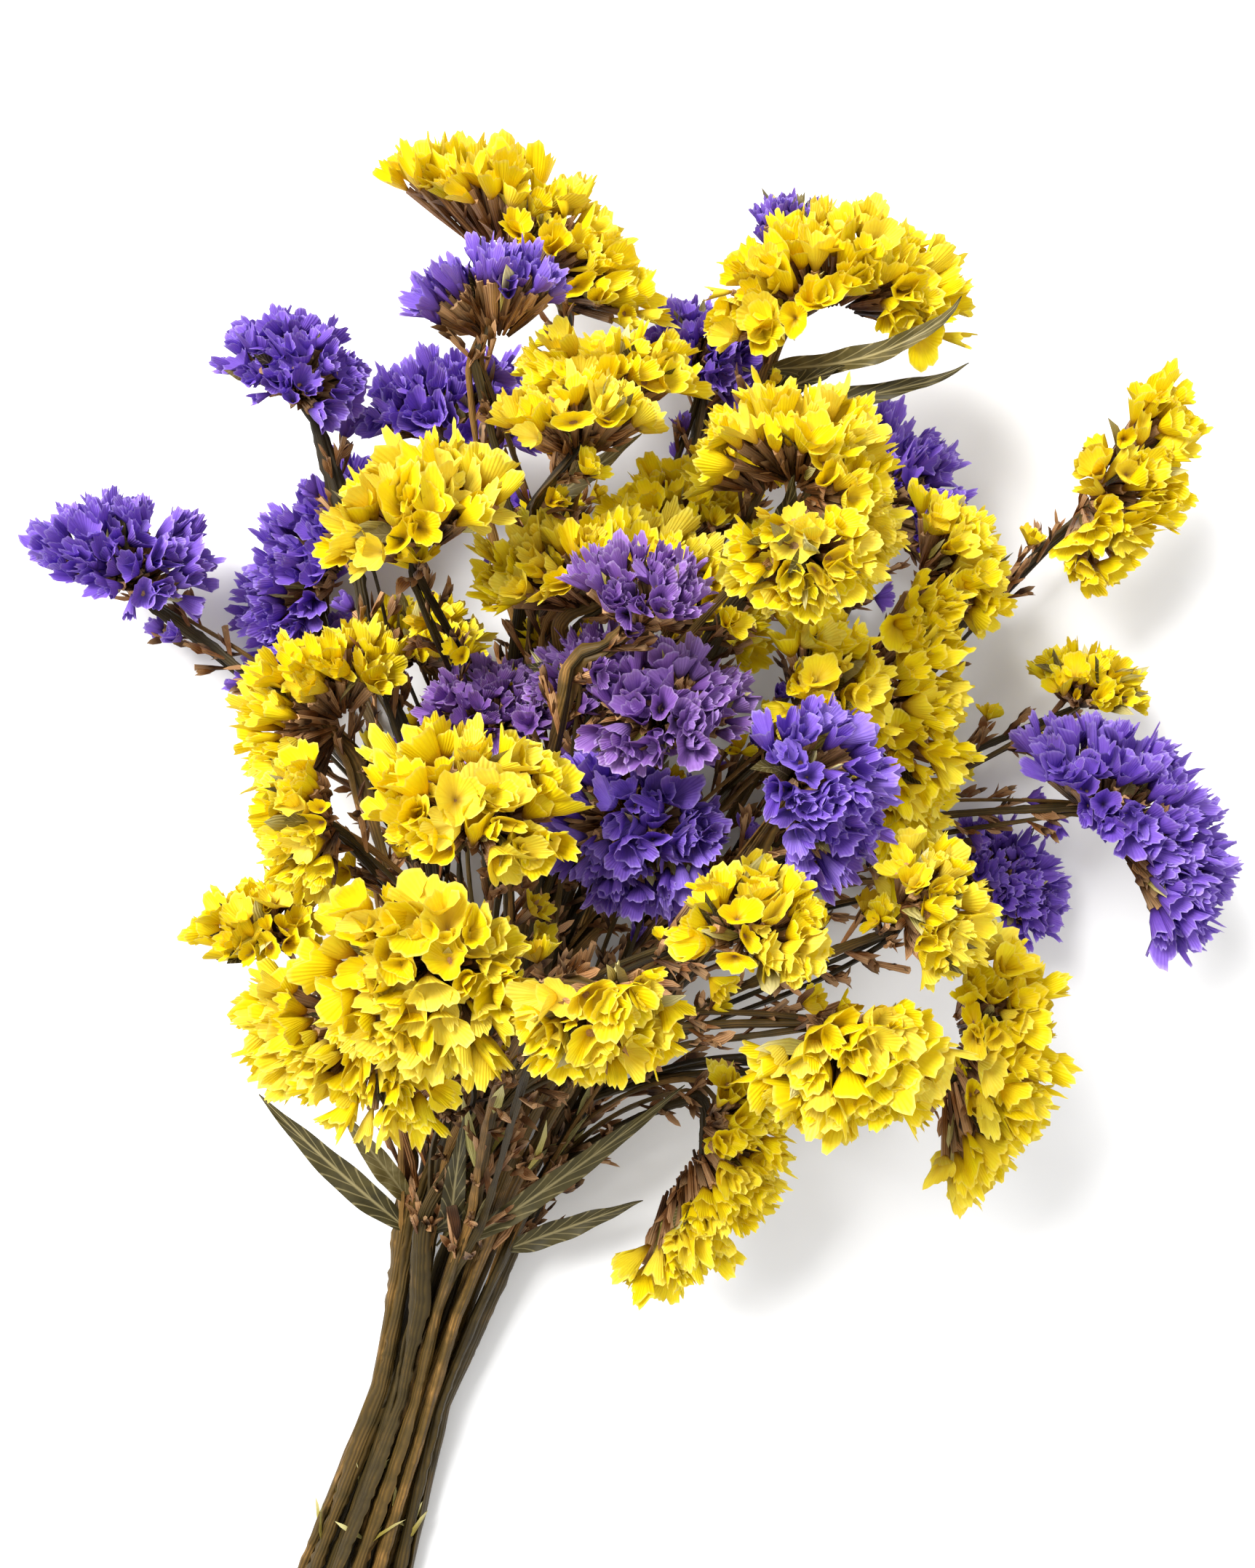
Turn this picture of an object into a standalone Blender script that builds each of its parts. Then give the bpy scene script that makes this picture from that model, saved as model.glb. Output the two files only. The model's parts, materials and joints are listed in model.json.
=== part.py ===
"""Dried sea lavender: a bunch of yellow and purple statice, lying on its side.

Fourteen sprays lie with their bare stems side by side and open into one-sided flower heads.
A spray is one solid: its main stem, the branches, the brown tubes under each head and its
leaves. The coloured papery calyces of each head are a solid of their own, seated on the
tubes. +Y runs from the cut ends to the flowers, +Z is up, and the bunch rests at z = 0.
"""

import math
import random
from dataclasses import dataclass

import bmesh
import bpy
import numpy as np

MM = 0.001
SEED = 11
NAME = "dried_sea_lavender"

# The whole layout is written from the middle of the flowers and moved by this much, so
# that the origin is the middle of the bunch's footprint.
CENTRE_SHIFT = np.array([3.65 * MM, 9.7 * MM, 0.0])

# A head is a fan of tubes about its rachis. These are shares of the fan's radius.
FOOT = 0.12
SEAM = 0.47
CORE = 0.73
MIDDLE = 0.80
SEAT_GAP = 0.3 * MM
FAN_RADIUS = (26 * MM, 37 * MM)
FAN_ANGLE = (36.0, 64.0)
WIDEST = 0.57
RIB_DEPTH = 0.10
CELL = 22.6 * MM

# A long head opens less: its angle falls with each width that it is longer than SQUAT. The
# sines of its two angles stay under these, and the first is a share of what fills the head.
SQUAT = 1.4
ANGLE_FALL = 16.0
FILL_SHARE = 0.9
STEEPEST_ALONG = 0.95
STEEPEST_ACROSS = 0.92
SHEET_ROUNDING = 0.42

# Heads up to these widths are two or three calyces across, and wider ones are four.
NARROW = 34 * MM
MEDIUM = 60 * MM

# Balls that fill a head while it is eased: one layer in its crown and two in its tubes.
BALL_STEP = 10 * MM
CROWN_LAYER = 0.79
CROWN_BALL = 0.25
TUBE_LAYERS = (0.08, 0.38)
TUBE_BALL_EXTRA = 2.5 * MM

# How a stem meets a head: near an end of the rachis, just inside the tubes' foot, rising as
# it comes in. It ends inside the tubes, at a share of the fan's radius.
RACHIS_END = 0.7
MEETING_HEIGHT = 0.05
ARRIVAL_RISE = 0.9
STEM_END = 0.30
STEM_COVER = 0.7

# A branch leaves its stem this share of the way up, for a head as far out as the first, and
# bows by a share of its own length.
FORK_SHARE = 0.52
FORK_RANGE = (0.12, 0.80)
BOW_SHARE = 0.42
LONGEST_ARRIVAL = 38 * MM

# A calyx is a funnel raised from one cell of the core.
CALYX_INSET = (0.05, 0.20)
CALYX_HEIGHT = (0.91, 1.07)
CALYX_RAGGED = (0.96, 1.04)
CALYX_NOTCH = 0.94
CALYX_THROAT = (0.45, 0.75)

STEM_RADIUS = 2.7 * MM
BRANCH_RADIUS = 1.9 * MM
TIP_SHARE = 0.80
STEM_STEP = 6 * MM
STRAY = 0.75 * MM

# The bare stems lie in rows on each other, with these many in each row from the bottom.
# They touch at the waist, a share of the way from the grip to the cut ends, where every
# second row lies in the hollows of the row below.
ROWS = (6, 5, 3)
WAIST = 0.38
WAIST_PITCH = (5.7 * MM, 3.0 * MM)
ROW_SHIFT = (0.0, 0.0, 0.5)
GRIP = np.array([-0.071, -0.150, 0.017]) + CENTRE_SHIFT
GRIP_PITCH = (8.2 * MM, 6.8 * MM)
CUT = np.array([-0.113, -0.285, 0.0026]) + CENTRE_SHIFT
CUT_PITCH = (8.5 * MM, 5.6 * MM)
CUT_STAGGER = 7 * MM
CUT_WAVE = 2.3

# A leaf is arched by a share of its half width and widest a third of the way along.
LEAF_THICK = 0.9 * MM
LEAF_ARCH = 0.25
LEAF_TILT = np.array([0.15, 0.1, 1.0])
LEAF_BASE = 0.12
LEAF_SPAN = 0.86
LEAF_POWER = 0.75

# The foot of the tubes has only its ends and its middle, on either side: this share of a
# place is rounded to the nearest of them, and what is this near the middle line is behind it.
FOOT_SNAP = 0.8
MIDDLE_LINE = 0.01

# Easing apart: how clear the pieces stay and how often the check is repeated.
CLEAR = 2.0 * MM
WATCH = 12 * MM
WATCH_ROUNDS = 20
HEAD_ROUNDS = 120
HEAD_EASE = np.array([0.35, 0.35, 0.70])
STEM_ROUNDS = 220
STEM_EASE = 0.6
STEM_SMOOTH = 0.35

JOIN_SOLVER = "MANIFOLD"


@dataclass
class Head:
    """One flower head: its middle line, its width and the way its flowers face.

    A hanging head is carried from the first end of its line, any other from the near end.
    """

    name: str
    line: list
    width: float
    azimuth: float
    elevation: float
    hangs: bool = False


@dataclass
class Leaf:
    """One leaf: its line from root to tip, its width and the head whose branch carries it."""

    line: list
    width: float
    head: int


@dataclass
class Spray:
    """One cut stem with the heads and leaves that it carries. The first head ends it."""

    name: str
    colour: str
    heads: list
    leaves: list


# Millimetres and degrees, from the middle of the flowers. A head's azimuth is counted
# from +X towards +Y and its elevation from level.
SPRAYS = [
    Spray("west_purple", "purple", [
        Head("upper_left", [(-125, 201, 75), (-116, 195, 75)], 44, 105, 48),
        Head("far_left", [(-209, 141, 55), (-186, 135, 52)], 50, 95, 50),
        Head("left_side", [(-106, 162, 46), (-128, 139, 42), (-136, 114, 34)], 48, 145, 58),
    ], []),
    Spray("north_purple", "purple", [
        Head("top_tuft", [(56, 268, 26), (65, 269, 26)], 20, 100, 30),
        Head("brush_pair", [(-56, 207, 112), (-30, 210, 114)], 34, 95, 22),
        Head("behind_brushes", [(-89, 193, 66), (-56, 190, 64)], 50, 100, 50),
        Head("top_shade", [(18, 218, 55), (28, 210, 55)], 41, 100, 50),
    ], []),
    Spray("centre_purple", "purple", [
        Head("fans", [(0, 98, 156), (12, 96, 156)], 31, 90, 48),
        Head("shade", [(-50, 79, 116), (-37, 80, 116)], 39, 100, 50),
        Head("left_dome", [(-16, 83, 134), (-5, 87, 136)], 36, 115, 38),
        Head("middle", [(11, 67, 152), (22, 67, 152)], 46, 90, 65),
    ], []),
    Spray("front_purple", "purple", [
        Head("ruffled", [(45, 58, 158), (50, 42, 152)], 46, 20, 60),
        Head("broad", [(2, 40, 146), (14, 34, 146)], 54, 260, 75),
    ], []),
    Spray("east_purple", "purple", [
        Head("chain", [(90, 179, 52), (109, 164, 50), (120, 145, 48)], 40, 35, 48),
        Head("far_right", [(179, 52, 72), (194, 38, 74), (204, 20, 70)], 56, 35, 50),
        Head("low_right", [(140, 24, 30), (152, 10, 30)], 41, 80, 50),
    ], []),
    Spray("north_yellow", "yellow", [
        Head("arch", [(-62, 266, 74), (-32, 253, 78), (-5, 226, 82)], 41, 65, 43),
        Head("pair", [(-15, 181, 122), (10, 184, 118)], 38, 80, 43),
        Head("comb", [(-27, 167, 135), (-10, 168, 133)], 36, 95, 26),
    ], [Leaf([(-10, 126, 104), (-3, 142, 116), (4, 158, 120)], 8, 2)]),
    Spray("northeast_yellow", "yellow", [
        Head("crest", [(52, 222, 92), (76, 234, 88), (94, 228, 86)], 55, 80, 50),
        Head("pale_cups", [(40, 156, 130), (55, 160, 130)], 41, 88, 23),
    ], [
        Leaf([(79, 177, 74), (95, 190, 80), (107, 209, 84)], 9, 0),
        Leaf([(84, 162, 74), (102, 176, 80), (118, 192, 84)], 9, 0),
        Leaf([(37, 185, 76), (56, 192, 82), (76, 190, 84)], 9, 0),
    ]),
    Spray("middle_yellow", "yellow", [
        Head("curl", [(56, 145, 138), (66, 140, 138), (71, 125, 132)], 38, 35, 48),
        Head("open_cup", [(44, 102, 166), (52, 99, 166)], 36, 280, 65),
        Head("cushion", [(66, 93, 143), (69, 78, 141)], 43, 20, 65),
    ], [Leaf([(36, 110, 128), (41, 126, 140), (51, 139, 143)], 9, 0)]),
    Spray("east_yellow", "yellow", [
        Head("far_spike", [(207, 191, 56), (195, 168, 55), (182, 143, 54)], 43, 30, 50),
        Head("side", [(117, 138, 82), (128, 118, 78)], 38, 30, 38),
        Head("low_spike", [(173, 86, 42), (185, 85, 42)], 36, 85, 45),
    ], []),
    Spray("centre_yellow", "yellow", [
        Head("shaded", [(8, 150, 74), (30, 151, 72)], 43, 95, 50),
        Head("slope", [(-67, 123, 142), (-47, 131, 140)], 46, 105, 48),
        Head("ridge", [(-37, 117, 135), (-8, 121, 132), (20, 108, 126)], 36, 85, 48),
    ], []),
    Spray("left_yellow", "yellow", [
        Head("hook", [(-110, 87, 78), (-124, 77, 76), (-127, 58, 70)], 36, 150, 43),
        Head("backing", [(-92, 105, 44), (-74, 104, 44)], 38, 95, 50),
        Head("sprig", [(-152, -8, 58), (-137, -3, 58)], 41, 130, 43),
    ], [
        Leaf([(-75, -139, 25), (-107, -115, 40), (-139, -73, 46)], 11, 0),
        Leaf([(-88, -122, 35), (-98, -100, 48), (-106, -76, 58)], 9, 0),
    ]),
    Spray("front_left_yellow", "yellow", [
        Head("upper_dome", [(-64, 42, 168), (-42, 34, 172)], 50, 80, 70),
        Head("shoulder", [(-96, 40, 158), (-92, 22, 160)], 34, 170, 48),
        Head("great_dome", [(-69, -12, 168), (-57, -17, 168)], 62, 255, 70),
        Head("lower_lip", [(-79, -48, 146), (-96, -42, 142), (-113, -32, 134)], 40, 220, 48),
    ], [Leaf([(-60, -140, 42), (-58, -105, 60), (-57, -74, 74)], 9, 0)]),
    Spray("front_yellow", "yellow", [
        Head("lip", [(-8, -22, 180), (2, -19, 180)], 43, 275, 50),
        Head("wing", [(37, 8, 174), (46, 5, 174)], 40, 40, 55),
        Head("bell", [(70, -36, 163), (82, -35, 161)], 54, 310, 50),
    ], [Leaf([(-35, -134, 38), (-2, -90, 56), (24, -66, 70)], 9, 0)]),
    Spray("right_yellow", "yellow", [
        Head("column", [(95, 105, 112), (96, 70, 104), (93, 26, 88)], 41, 5, 50),
        Head("round", [(92, 10, 158), (95, -4, 156)], 38, 5, 43),
        Head("hanging", [(130, -30, 110), (132, -52, 104), (126, -82, 94)], 44, 350, 50),
        Head("tail", [(43, -78, 88), (38, -102, 80), (17, -134, 66)], 34, 320, 50, True),
    ], [Leaf([(-42, -142, 30), (-14, -124, 36), (6, -116, 36)], 9, 0)]),
]


def unit(vectors):
    """Vectors divided by their lengths, row by row."""
    return vectors / np.linalg.norm(vectors, axis=-1, keepdims=True)


def bend(line, share):
    """Point and slope at each share of a line: the parabola through its three points."""
    first, last = np.array(line[0], float), np.array(line[-1], float)
    middle = np.array(line[1], float) if len(line) == 3 else (first + last) / 2
    t = np.asarray(share, float)[..., None]
    point = first * (2 * t - 1) * (t - 1) + middle * 4 * t * (1 - t) + last * t * (2 * t - 1)
    slope = first * (4 * t - 3) + middle * (4 - 8 * t) + last * (4 * t - 1)
    return point, slope


class Fan:
    """A head's shape: places in the fan are given by two sheet parameters and a height.

    x runs from -1 to 1 along the head and y from -1 to 1 across it. The height is the
    share of the fan's radius, measured outwards from the rachis.
    """

    def __init__(self, head):
        self.line = np.array(head.line, float) * MM + CENTRE_SHIFT
        self.width = head.width * MM
        run = np.linalg.norm(np.diff(self.line, axis=0), axis=1).sum()
        half = self.half = (run + self.width) / 2
        slim = 2 * half / self.width
        self.radius = min(max(half, FAN_RADIUS[0]), FAN_RADIUS[1])
        self.radius = max(self.radius, WIDEST * self.width)
        narrowest, widest = FAN_ANGLE
        self.theta = math.radians(max(narrowest, widest - ANGLE_FALL * (slim - SQUAT)))
        fill = min(STEEPEST_ALONG, FILL_SHARE * half / self.radius)
        self.theta = min(self.theta, math.asin(fill))
        self.phi = math.asin(min(STEEPEST_ACROSS, self.width / 2 / self.radius))
        self.squeeze = 2 * (half - self.radius * math.sin(self.theta)) / run
        azimuth, elevation = math.radians(head.azimuth), math.radians(head.elevation)
        self.facing = np.array([
            math.cos(elevation) * math.cos(azimuth),
            math.cos(elevation) * math.sin(azimuth),
            math.sin(elevation),
        ])
        across = 2 if self.width < NARROW else 3 if self.width < MEDIUM else 4
        self.cells = (max(3, round(2 * half / CELL)), across)

    def shifted(self, push):
        """Move the whole head."""
        self.line = self.line + push

    def lowest(self):
        """Height of the lowest part of the crown's rim above the surface."""
        x, y = np.meshgrid([-1, -0.5, 0, 0.5, 1], [-1, 0, 1])
        return self.place(x, y, np.ones(x.shape))[..., 2].min()

    def rachis(self, x):
        """Places along the rachis, with the directions along, out of and across the fan."""
        share = (np.asarray(x, float) + 1) / 2
        point, slope = bend(self.line, share)
        centre, _ = bend(self.line, 0.5)
        along = unit(slope)
        out = unit(self.facing - along * (along @ self.facing)[..., None])
        place = centre + self.squeeze * (point - centre) - self.facing * MIDDLE * self.radius
        return place, along, out, np.cross(out, along)

    def place(self, x, y, height):
        """Point of the fan: the sheet is rounded to a disc, then each height goes out from
        the rachis in a direction turned by theta along the head and by phi across it."""
        x, y = np.asarray(x, float), np.asarray(y, float)
        round_x = x * np.sqrt(1 - SHEET_ROUNDING * y ** 2)
        round_y = y * np.sqrt(1 - SHEET_ROUNDING * x ** 2)
        root, along, out, over = self.rachis(round_x)
        turn = (self.theta * round_x)[..., None]
        lean = (self.phi * round_y)[..., None]
        ray = np.cos(lean) * (np.cos(turn) * out + np.sin(turn) * along) + np.sin(lean) * over
        return root + ray * (self.radius * np.asarray(height, float))[..., None]

    def balls(self):
        """Balls that fill the head: middles, radii, and which of them fill its tubes."""
        count = max(4, math.ceil(2 * self.half / BALL_STEP))
        x, y = np.meshgrid(np.linspace(-0.95, 0.95, count), [-0.75, 0, 0.75])
        crown = self.place(x.ravel(), y.ravel(), np.full(x.size, CROWN_LAYER))
        x = np.tile(np.linspace(-0.8, 0.8, count), 2)
        height = np.repeat(TUBE_LAYERS, count)
        tubes = self.place(x, 0 * x, height)
        slim = self.radius * height * math.sin(self.phi) + TUBE_BALL_EXTRA
        radii = np.r_[np.full(len(crown), CROWN_BALL * self.radius), slim]
        return np.vstack([crown, tubes]), radii, np.arange(len(radii)) >= len(crown)


def near_pairs(spots, reach, foreign):
    """Index pairs of the foreign spots that are near enough to be watched for a while."""
    square = (spots ** 2).sum(axis=1)
    distance2 = square[:, None] + square[None] - 2 * spots @ spots.T
    limit = reach[:, None] + reach[None] + CLEAR + WATCH
    return np.nonzero((distance2 < limit ** 2) & foreign)


def push_apart(spots, reach, pairs):
    """How far each spot moves to get clear of its pairs, summed, and how many it touches."""
    one, other = pairs
    offset = spots[one] - spots[other]
    distance = np.maximum(np.linalg.norm(offset, axis=1), 1e-6)
    depth = np.clip(reach[one] + reach[other] + CLEAR - distance, 0, None)
    push = offset * (depth / distance)[:, None]
    count = len(spots)
    total = np.column_stack([np.bincount(one, push[:, k], count) for k in range(3)])
    return total, np.bincount(one, depth > 0, count)


def ease_heads(fans):
    """Move heads that run into each other apart, mostly up or down, a little each round."""
    packs = [fan.balls() for fan in fans]
    spots = np.vstack([pack[0] for pack in packs])
    reach = np.concatenate([pack[1] for pack in packs])
    owner = np.repeat(np.arange(len(fans)), [len(pack[1]) for pack in packs])
    foreign = owner[:, None] != owner[None]
    for turn in range(HEAD_ROUNDS):
        if turn % WATCH_ROUNDS == 0:
            pairs = near_pairs(spots, reach, foreign)
        push, hits = push_apart(spots, reach, pairs)
        for i, fan in enumerate(fans):
            mine = owner == i
            step = push[mine].sum(axis=0) / max(1, hits[mine].sum()) * HEAD_EASE
            step[2] = max(step[2], -fan.lowest())
            fan.shifted(step)
            spots[mine] += step


class Stem:
    """A line of points from one fixed end to another, which may be pushed aside between."""

    def __init__(self, points, radius, spray, fixed, parent=None, leaf=None):
        self.points = points
        self.radius = radius
        self.spray = spray
        self.fixed = fixed
        self.parent = parent
        self.leaf = leaf


def even_steps(points, step):
    """The same line with points a step apart."""
    points = np.asarray(points, float)
    run = np.r_[0, np.cumsum(np.linalg.norm(np.diff(points, axis=0), axis=1))]
    count = max(4, int(math.ceil(run[-1] / step)) + 1)
    spots = np.linspace(0, run[-1], count)
    return np.column_stack([np.interp(spots, run, points[:, k]) for k in range(3)])


def bow(start, start_pull, end, end_pull):
    """Cubic curve between two points, leaving and arriving along the two pulls."""
    t = np.linspace(0, 1, 40)[:, None]
    near, far = start + start_pull, end - end_pull
    return (start * (1 - t) ** 3 + near * 3 * t * (1 - t) ** 2
            + far * 3 * t ** 2 * (1 - t) + end * t ** 3)


def slots():
    """Places of the stems at the cut end, the waist and the grip, row by row."""
    along = unit(GRIP - CUT)
    side = unit(np.cross(along, [0, 0, 1]))
    up = np.array([0, 0, 1.0])
    waist_middle = GRIP + (CUT - GRIP) * WAIST
    for row, count in enumerate(ROWS):
        for column in range(count):
            aside = column - (count - 1) / 2
            snug = aside + ROW_SHIFT[row]
            stagger = CUT_STAGGER * math.sin(CUT_WAVE * (column + 5 * row))
            cut = CUT + side * aside * CUT_PITCH[0] + up * row * CUT_PITCH[1]
            waist = waist_middle + side * snug * WAIST_PITCH[0] + up * row * WAIST_PITCH[1]
            grip = GRIP + side * aside * GRIP_PITCH[0] + up * row * GRIP_PITCH[1]
            yield cut + stagger * along, waist, grip


def approach(fan, start, hangs):
    """Where a stem meets a head's rachis, its way in, and its end inside the tubes."""
    sides = np.array([-RACHIS_END, RACHIS_END])
    ends = fan.place(sides, 0 * sides, MEETING_HEIGHT + 0 * sides)
    _, along, out, _ = fan.rachis(sides)
    first_is_near = np.linalg.norm(ends[0] - start) < np.linalg.norm(ends[1] - start)
    near = 0 if hangs or first_is_near else 1
    inward = along[near] * (1 if near == 0 else -1)
    arrive = unit(inward + out[near] * ARRIVAL_RISE)
    return ends[near], arrive, fan.place(0, 0, min(STEM_END, STEM_COVER * SEAM * math.cos(fan.phi)))


def branch_line(start, leave, fan, hangs):
    """A branch from its start to an end of a head's rachis and on into its tubes."""
    end, arrive, tip = approach(fan, start, hangs)
    pull = np.linalg.norm(end - start) * BOW_SHARE
    curve = bow(start, leave * pull, end, arrive * min(pull, LONGEST_ARRIVAL))
    line = even_steps(curve, STEM_STEP)
    rachis = even_steps([end, tip], STEM_STEP)
    return np.vstack([line, rachis[1:]]), len(line) - 2


def order_sprays(fans_of):
    """Match the sprays to the rows: the lowest sprays below, each row from left to right."""
    height = [min(fan.line[:, 2].mean() for fan in fans) for fans in fans_of]
    lowest_first = sorted(range(len(fans_of)), key=lambda i: height[i])
    matched, used = {}, 0
    for row, count in enumerate(ROWS):
        members = lowest_first[used:used + count]
        bearing = [math.atan2(*(fans_of[i][0].line[-1, :2] - GRIP[:2])) for i in members]
        for column, (_, i) in enumerate(sorted(zip(bearing, members))):
            matched[i] = used + column
        used += count
    return matched


def lay_stems(sprays, fans_of):
    """The main stem of each spray, then a branch for each further head and each leaf."""
    places = list(slots())
    matched = order_sprays(fans_of)
    stems = []
    for i, (spray, fans) in enumerate(zip(sprays, fans_of)):
        cut, waist, grip = places[matched[i]]
        base = np.vstack([even_steps([cut, waist], STEM_STEP), even_steps([waist, grip], STEM_STEP)[1:]])
        upper, held = branch_line(grip, unit(grip - cut), fans[0], spray.heads[0].hangs)
        main = np.vstack([base, upper[1:]])
        fixed = np.zeros(len(main), bool)
        fixed[:len(base) - 2] = True
        fixed[len(base) + held - 2:] = True
        stems.append(Stem(main, STEM_RADIUS, i, fixed))
        home = len(stems) - 1
        free = np.arange(len(base), len(base) + held - 6)
        reach_of_first = np.linalg.norm(main[-1] - grip)
        carriers = [home]
        for fan, head in zip(fans[1:], spray.heads[1:]):
            share = np.linalg.norm(fan.line.mean(axis=0) - grip) / reach_of_first
            index = free[int(np.clip(share * FORK_SHARE, *FORK_RANGE) * (len(free) - 1))]
            leave = unit(main[index + 1] - main[index - 1])
            line, held_branch = branch_line(main[index], leave, fan, head.hangs)
            pinned = np.zeros(len(line), bool)
            pinned[held_branch:] = True
            pinned[0] = True
            stems.append(Stem(line, BRANCH_RADIUS, i, pinned, (home, index)))
            carriers.append(len(stems) - 1)
        for leaf in spray.leaves:
            carrier = stems[carriers[leaf.head]]
            line = np.array(leaf.line) * MM + CENTRE_SHIFT
            root = int(np.linalg.norm(carrier.points - line[0], axis=1).argmin())
            curve, _ = bend([carrier.points[root], *line[1:]], np.linspace(0, 1, 20))
            line = even_steps(curve, STEM_STEP)
            pinned = np.zeros(len(line), bool)
            pinned[0] = True
            stems.append(Stem(line, leaf.width * MM / 2, i, pinned, (carriers[leaf.head], root), leaf))
    return stems


def ease_stems(stems, fans_of):
    """Push stems off the heads and off the stems of other sprays, and smooth their lines.

    The heads stand as fixed balls. A stem may touch the tubes of its own spray's heads.
    """
    packs = [(i, *fan.balls()) for i, fans in enumerate(fans_of) for fan in fans]
    counts = [len(stem.points) for stem in stems]
    total = sum(counts)
    spots = np.vstack([stem.points for stem in stems] + [pack[1] for pack in packs])
    reach = np.r_[np.repeat([stem.radius for stem in stems], counts),
                  np.concatenate([pack[2] for pack in packs])]
    spray = np.r_[np.repeat([stem.spray for stem in stems], counts),
                  np.concatenate([np.full(len(pack[2]), pack[0]) for pack in packs])]
    crown = np.r_[np.zeros(total, bool), np.concatenate([~pack[3] for pack in packs])]
    stem_of = np.repeat(np.arange(len(stems)), counts)
    fixed = np.concatenate([stem.fixed for stem in stems])
    is_stem = np.arange(len(spots)) < total
    foreign = (spray[:, None] != spray[None]) | crown[:, None] | crown[None]
    foreign &= is_stem[:, None]
    starts = np.r_[0, np.cumsum(counts)]
    inner = np.zeros(total, bool)
    inner[1:-1] = (stem_of[1:-1] == stem_of[:-2]) & (stem_of[1:-1] == stem_of[2:])
    for turn in range(STEM_ROUNDS):
        if turn % WATCH_ROUNDS == 0:
            pairs = near_pairs(spots, reach, foreign)
        push, hits = push_apart(spots, reach, pairs)
        move = (push / np.maximum(hits, 1)[:, None] * STEM_EASE)[:total]
        smooth = (np.roll(spots[:total], 1, 0) + np.roll(spots[:total], -1, 0)) / 2 - spots[:total]
        move[inner] += smooth[inner] * STEM_SMOOTH
        move[fixed] = 0
        spots[:total] += move
        spots[:total, 2] = np.maximum(spots[:total, 2], reach[:total])
        for k, stem in enumerate(stems):
            if stem.parent:
                home, index = stem.parent
                spots[starts[k]] = spots[starts[home] + index]
    for k, stem in enumerate(stems):
        stem.points = spots[starts[k]:starts[k + 1]].copy()


def flat_grid(cells, height):
    """A flat grid of the sheet, where a vertex holds (x, y, height) until it is bent."""
    block = bmesh.new()
    bmesh.ops.create_grid(block, x_segments=cells[0], y_segments=cells[1], size=1)
    for vert in block.verts:
        vert.co.z = height
    return block


def drop_rim(block, height):
    """Draw the open rim out to another height, and give the vertices of the new rim."""
    rim = [edge for edge in block.edges if edge.is_boundary]
    drawn = bmesh.ops.extrude_edge_only(block, edges=rim)["geom"]
    verts = [item for item in drawn if isinstance(item, bmesh.types.BMVert)]
    for vert in verts:
        vert.co.z = height
    return verts


def pull_ribs(verts, cells):
    """Draw every second vertex of a rim inwards, so that the tubes stand as ribs."""
    for vert in verts:
        step = round((vert.co.x + 1) / 2 * cells[0]) + round((vert.co.y + 1) / 2 * cells[1])
        if step % 2:
            vert.co.x *= 1 - RIB_DEPTH
            vert.co.y *= 1 - RIB_DEPTH


def split_in_strips(block, rim, cells):
    """Split the many-sided face inside a rim into triangles that lie across the sheet."""
    along, across = cells
    at = {(round((vert.co.x + 1) / 2 * along), round((vert.co.y + 1) / 2 * across)): vert
          for vert in rim}
    cuts = [((i, 0), (i, across)) for i in range(1, along)]
    cuts += [((i, 0), (i + 1, across)) for i in range(1, along - 1)]
    cuts += [((1, across), (0, j)) for j in range(across)]
    cuts += [((along - 1, 0), (along, j)) for j in range(1, across + 1)]
    for one, other in cuts:
        bmesh.ops.connect_verts(block, verts=[at[one], at[other]])


def close_rim(block):
    """Close the open rim with one face."""
    rim = [edge for edge in block.edges if edge.is_boundary]
    bmesh.ops.contextual_create(block, geom=rim)


def raise_calyces(block, draw):
    """Raise a funnel from each cell on top: an eight-pointed rim about a sunk throat."""
    halfway = (SEAM + CORE) / 2
    cells = [face for face in block.faces if min(vert.co.z for vert in face.verts) > halfway]
    funnels = bmesh.ops.extrude_discrete_faces(block, faces=cells)["faces"]
    for face in funnels:
        middle = face.calc_center_median()
        height = draw.uniform(*CALYX_HEIGHT)
        for vert in face.verts:
            inset = draw.uniform(*CALYX_INSET)
            vert.co.x += (middle.x - vert.co.x) * inset
            vert.co.y += (middle.y - vert.co.y) * inset
            vert.co.z = height * draw.uniform(*CALYX_RAGGED)
    rims = [edge for face in funnels for edge in face.edges]
    bmesh.ops.subdivide_edges(block, edges=rims, cuts=1)
    tops = [face for face in block.faces if len(face.verts) == 8]
    for face in tops:
        middle = face.calc_center_median()
        for vert in face.verts:
            if len(vert.link_edges) == 2:
                vert.co.z *= CALYX_NOTCH
    throats = bmesh.ops.poke(block, faces=tops)["verts"]
    for vert in throats:
        share = draw.uniform(*CALYX_THROAT)
        vert.co.z += (CORE - vert.co.z) * share


def bent(block, fan, lift=0.0):
    """Bend a flat block into the fan, lifted by an even gap, and keep it off the surface."""
    bmesh.ops.recalc_face_normals(block, faces=block.faces)
    bmesh.ops.triangulate(block, faces=block.faces)
    sheet = np.array([vert.co[:] for vert in block.verts])
    height = sheet[:, 2] + lift / fan.radius
    places = fan.place(sheet[:, 0], sheet[:, 1], height)
    places[:, 2] = np.maximum(places[:, 2], 0)
    for vert, place in zip(block.verts, places):
        vert.co = place


def add_object(name, block, material):
    """A mesh object from a bmesh, with its material."""
    bmesh.ops.triangulate(block, faces=block.faces)
    mesh = bpy.data.meshes.new(name)
    block.to_mesh(mesh)
    block.free()
    obj = bpy.data.objects.new(name, mesh)
    mesh.materials.append(material)
    PARTS.objects.link(obj)
    return obj


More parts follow.
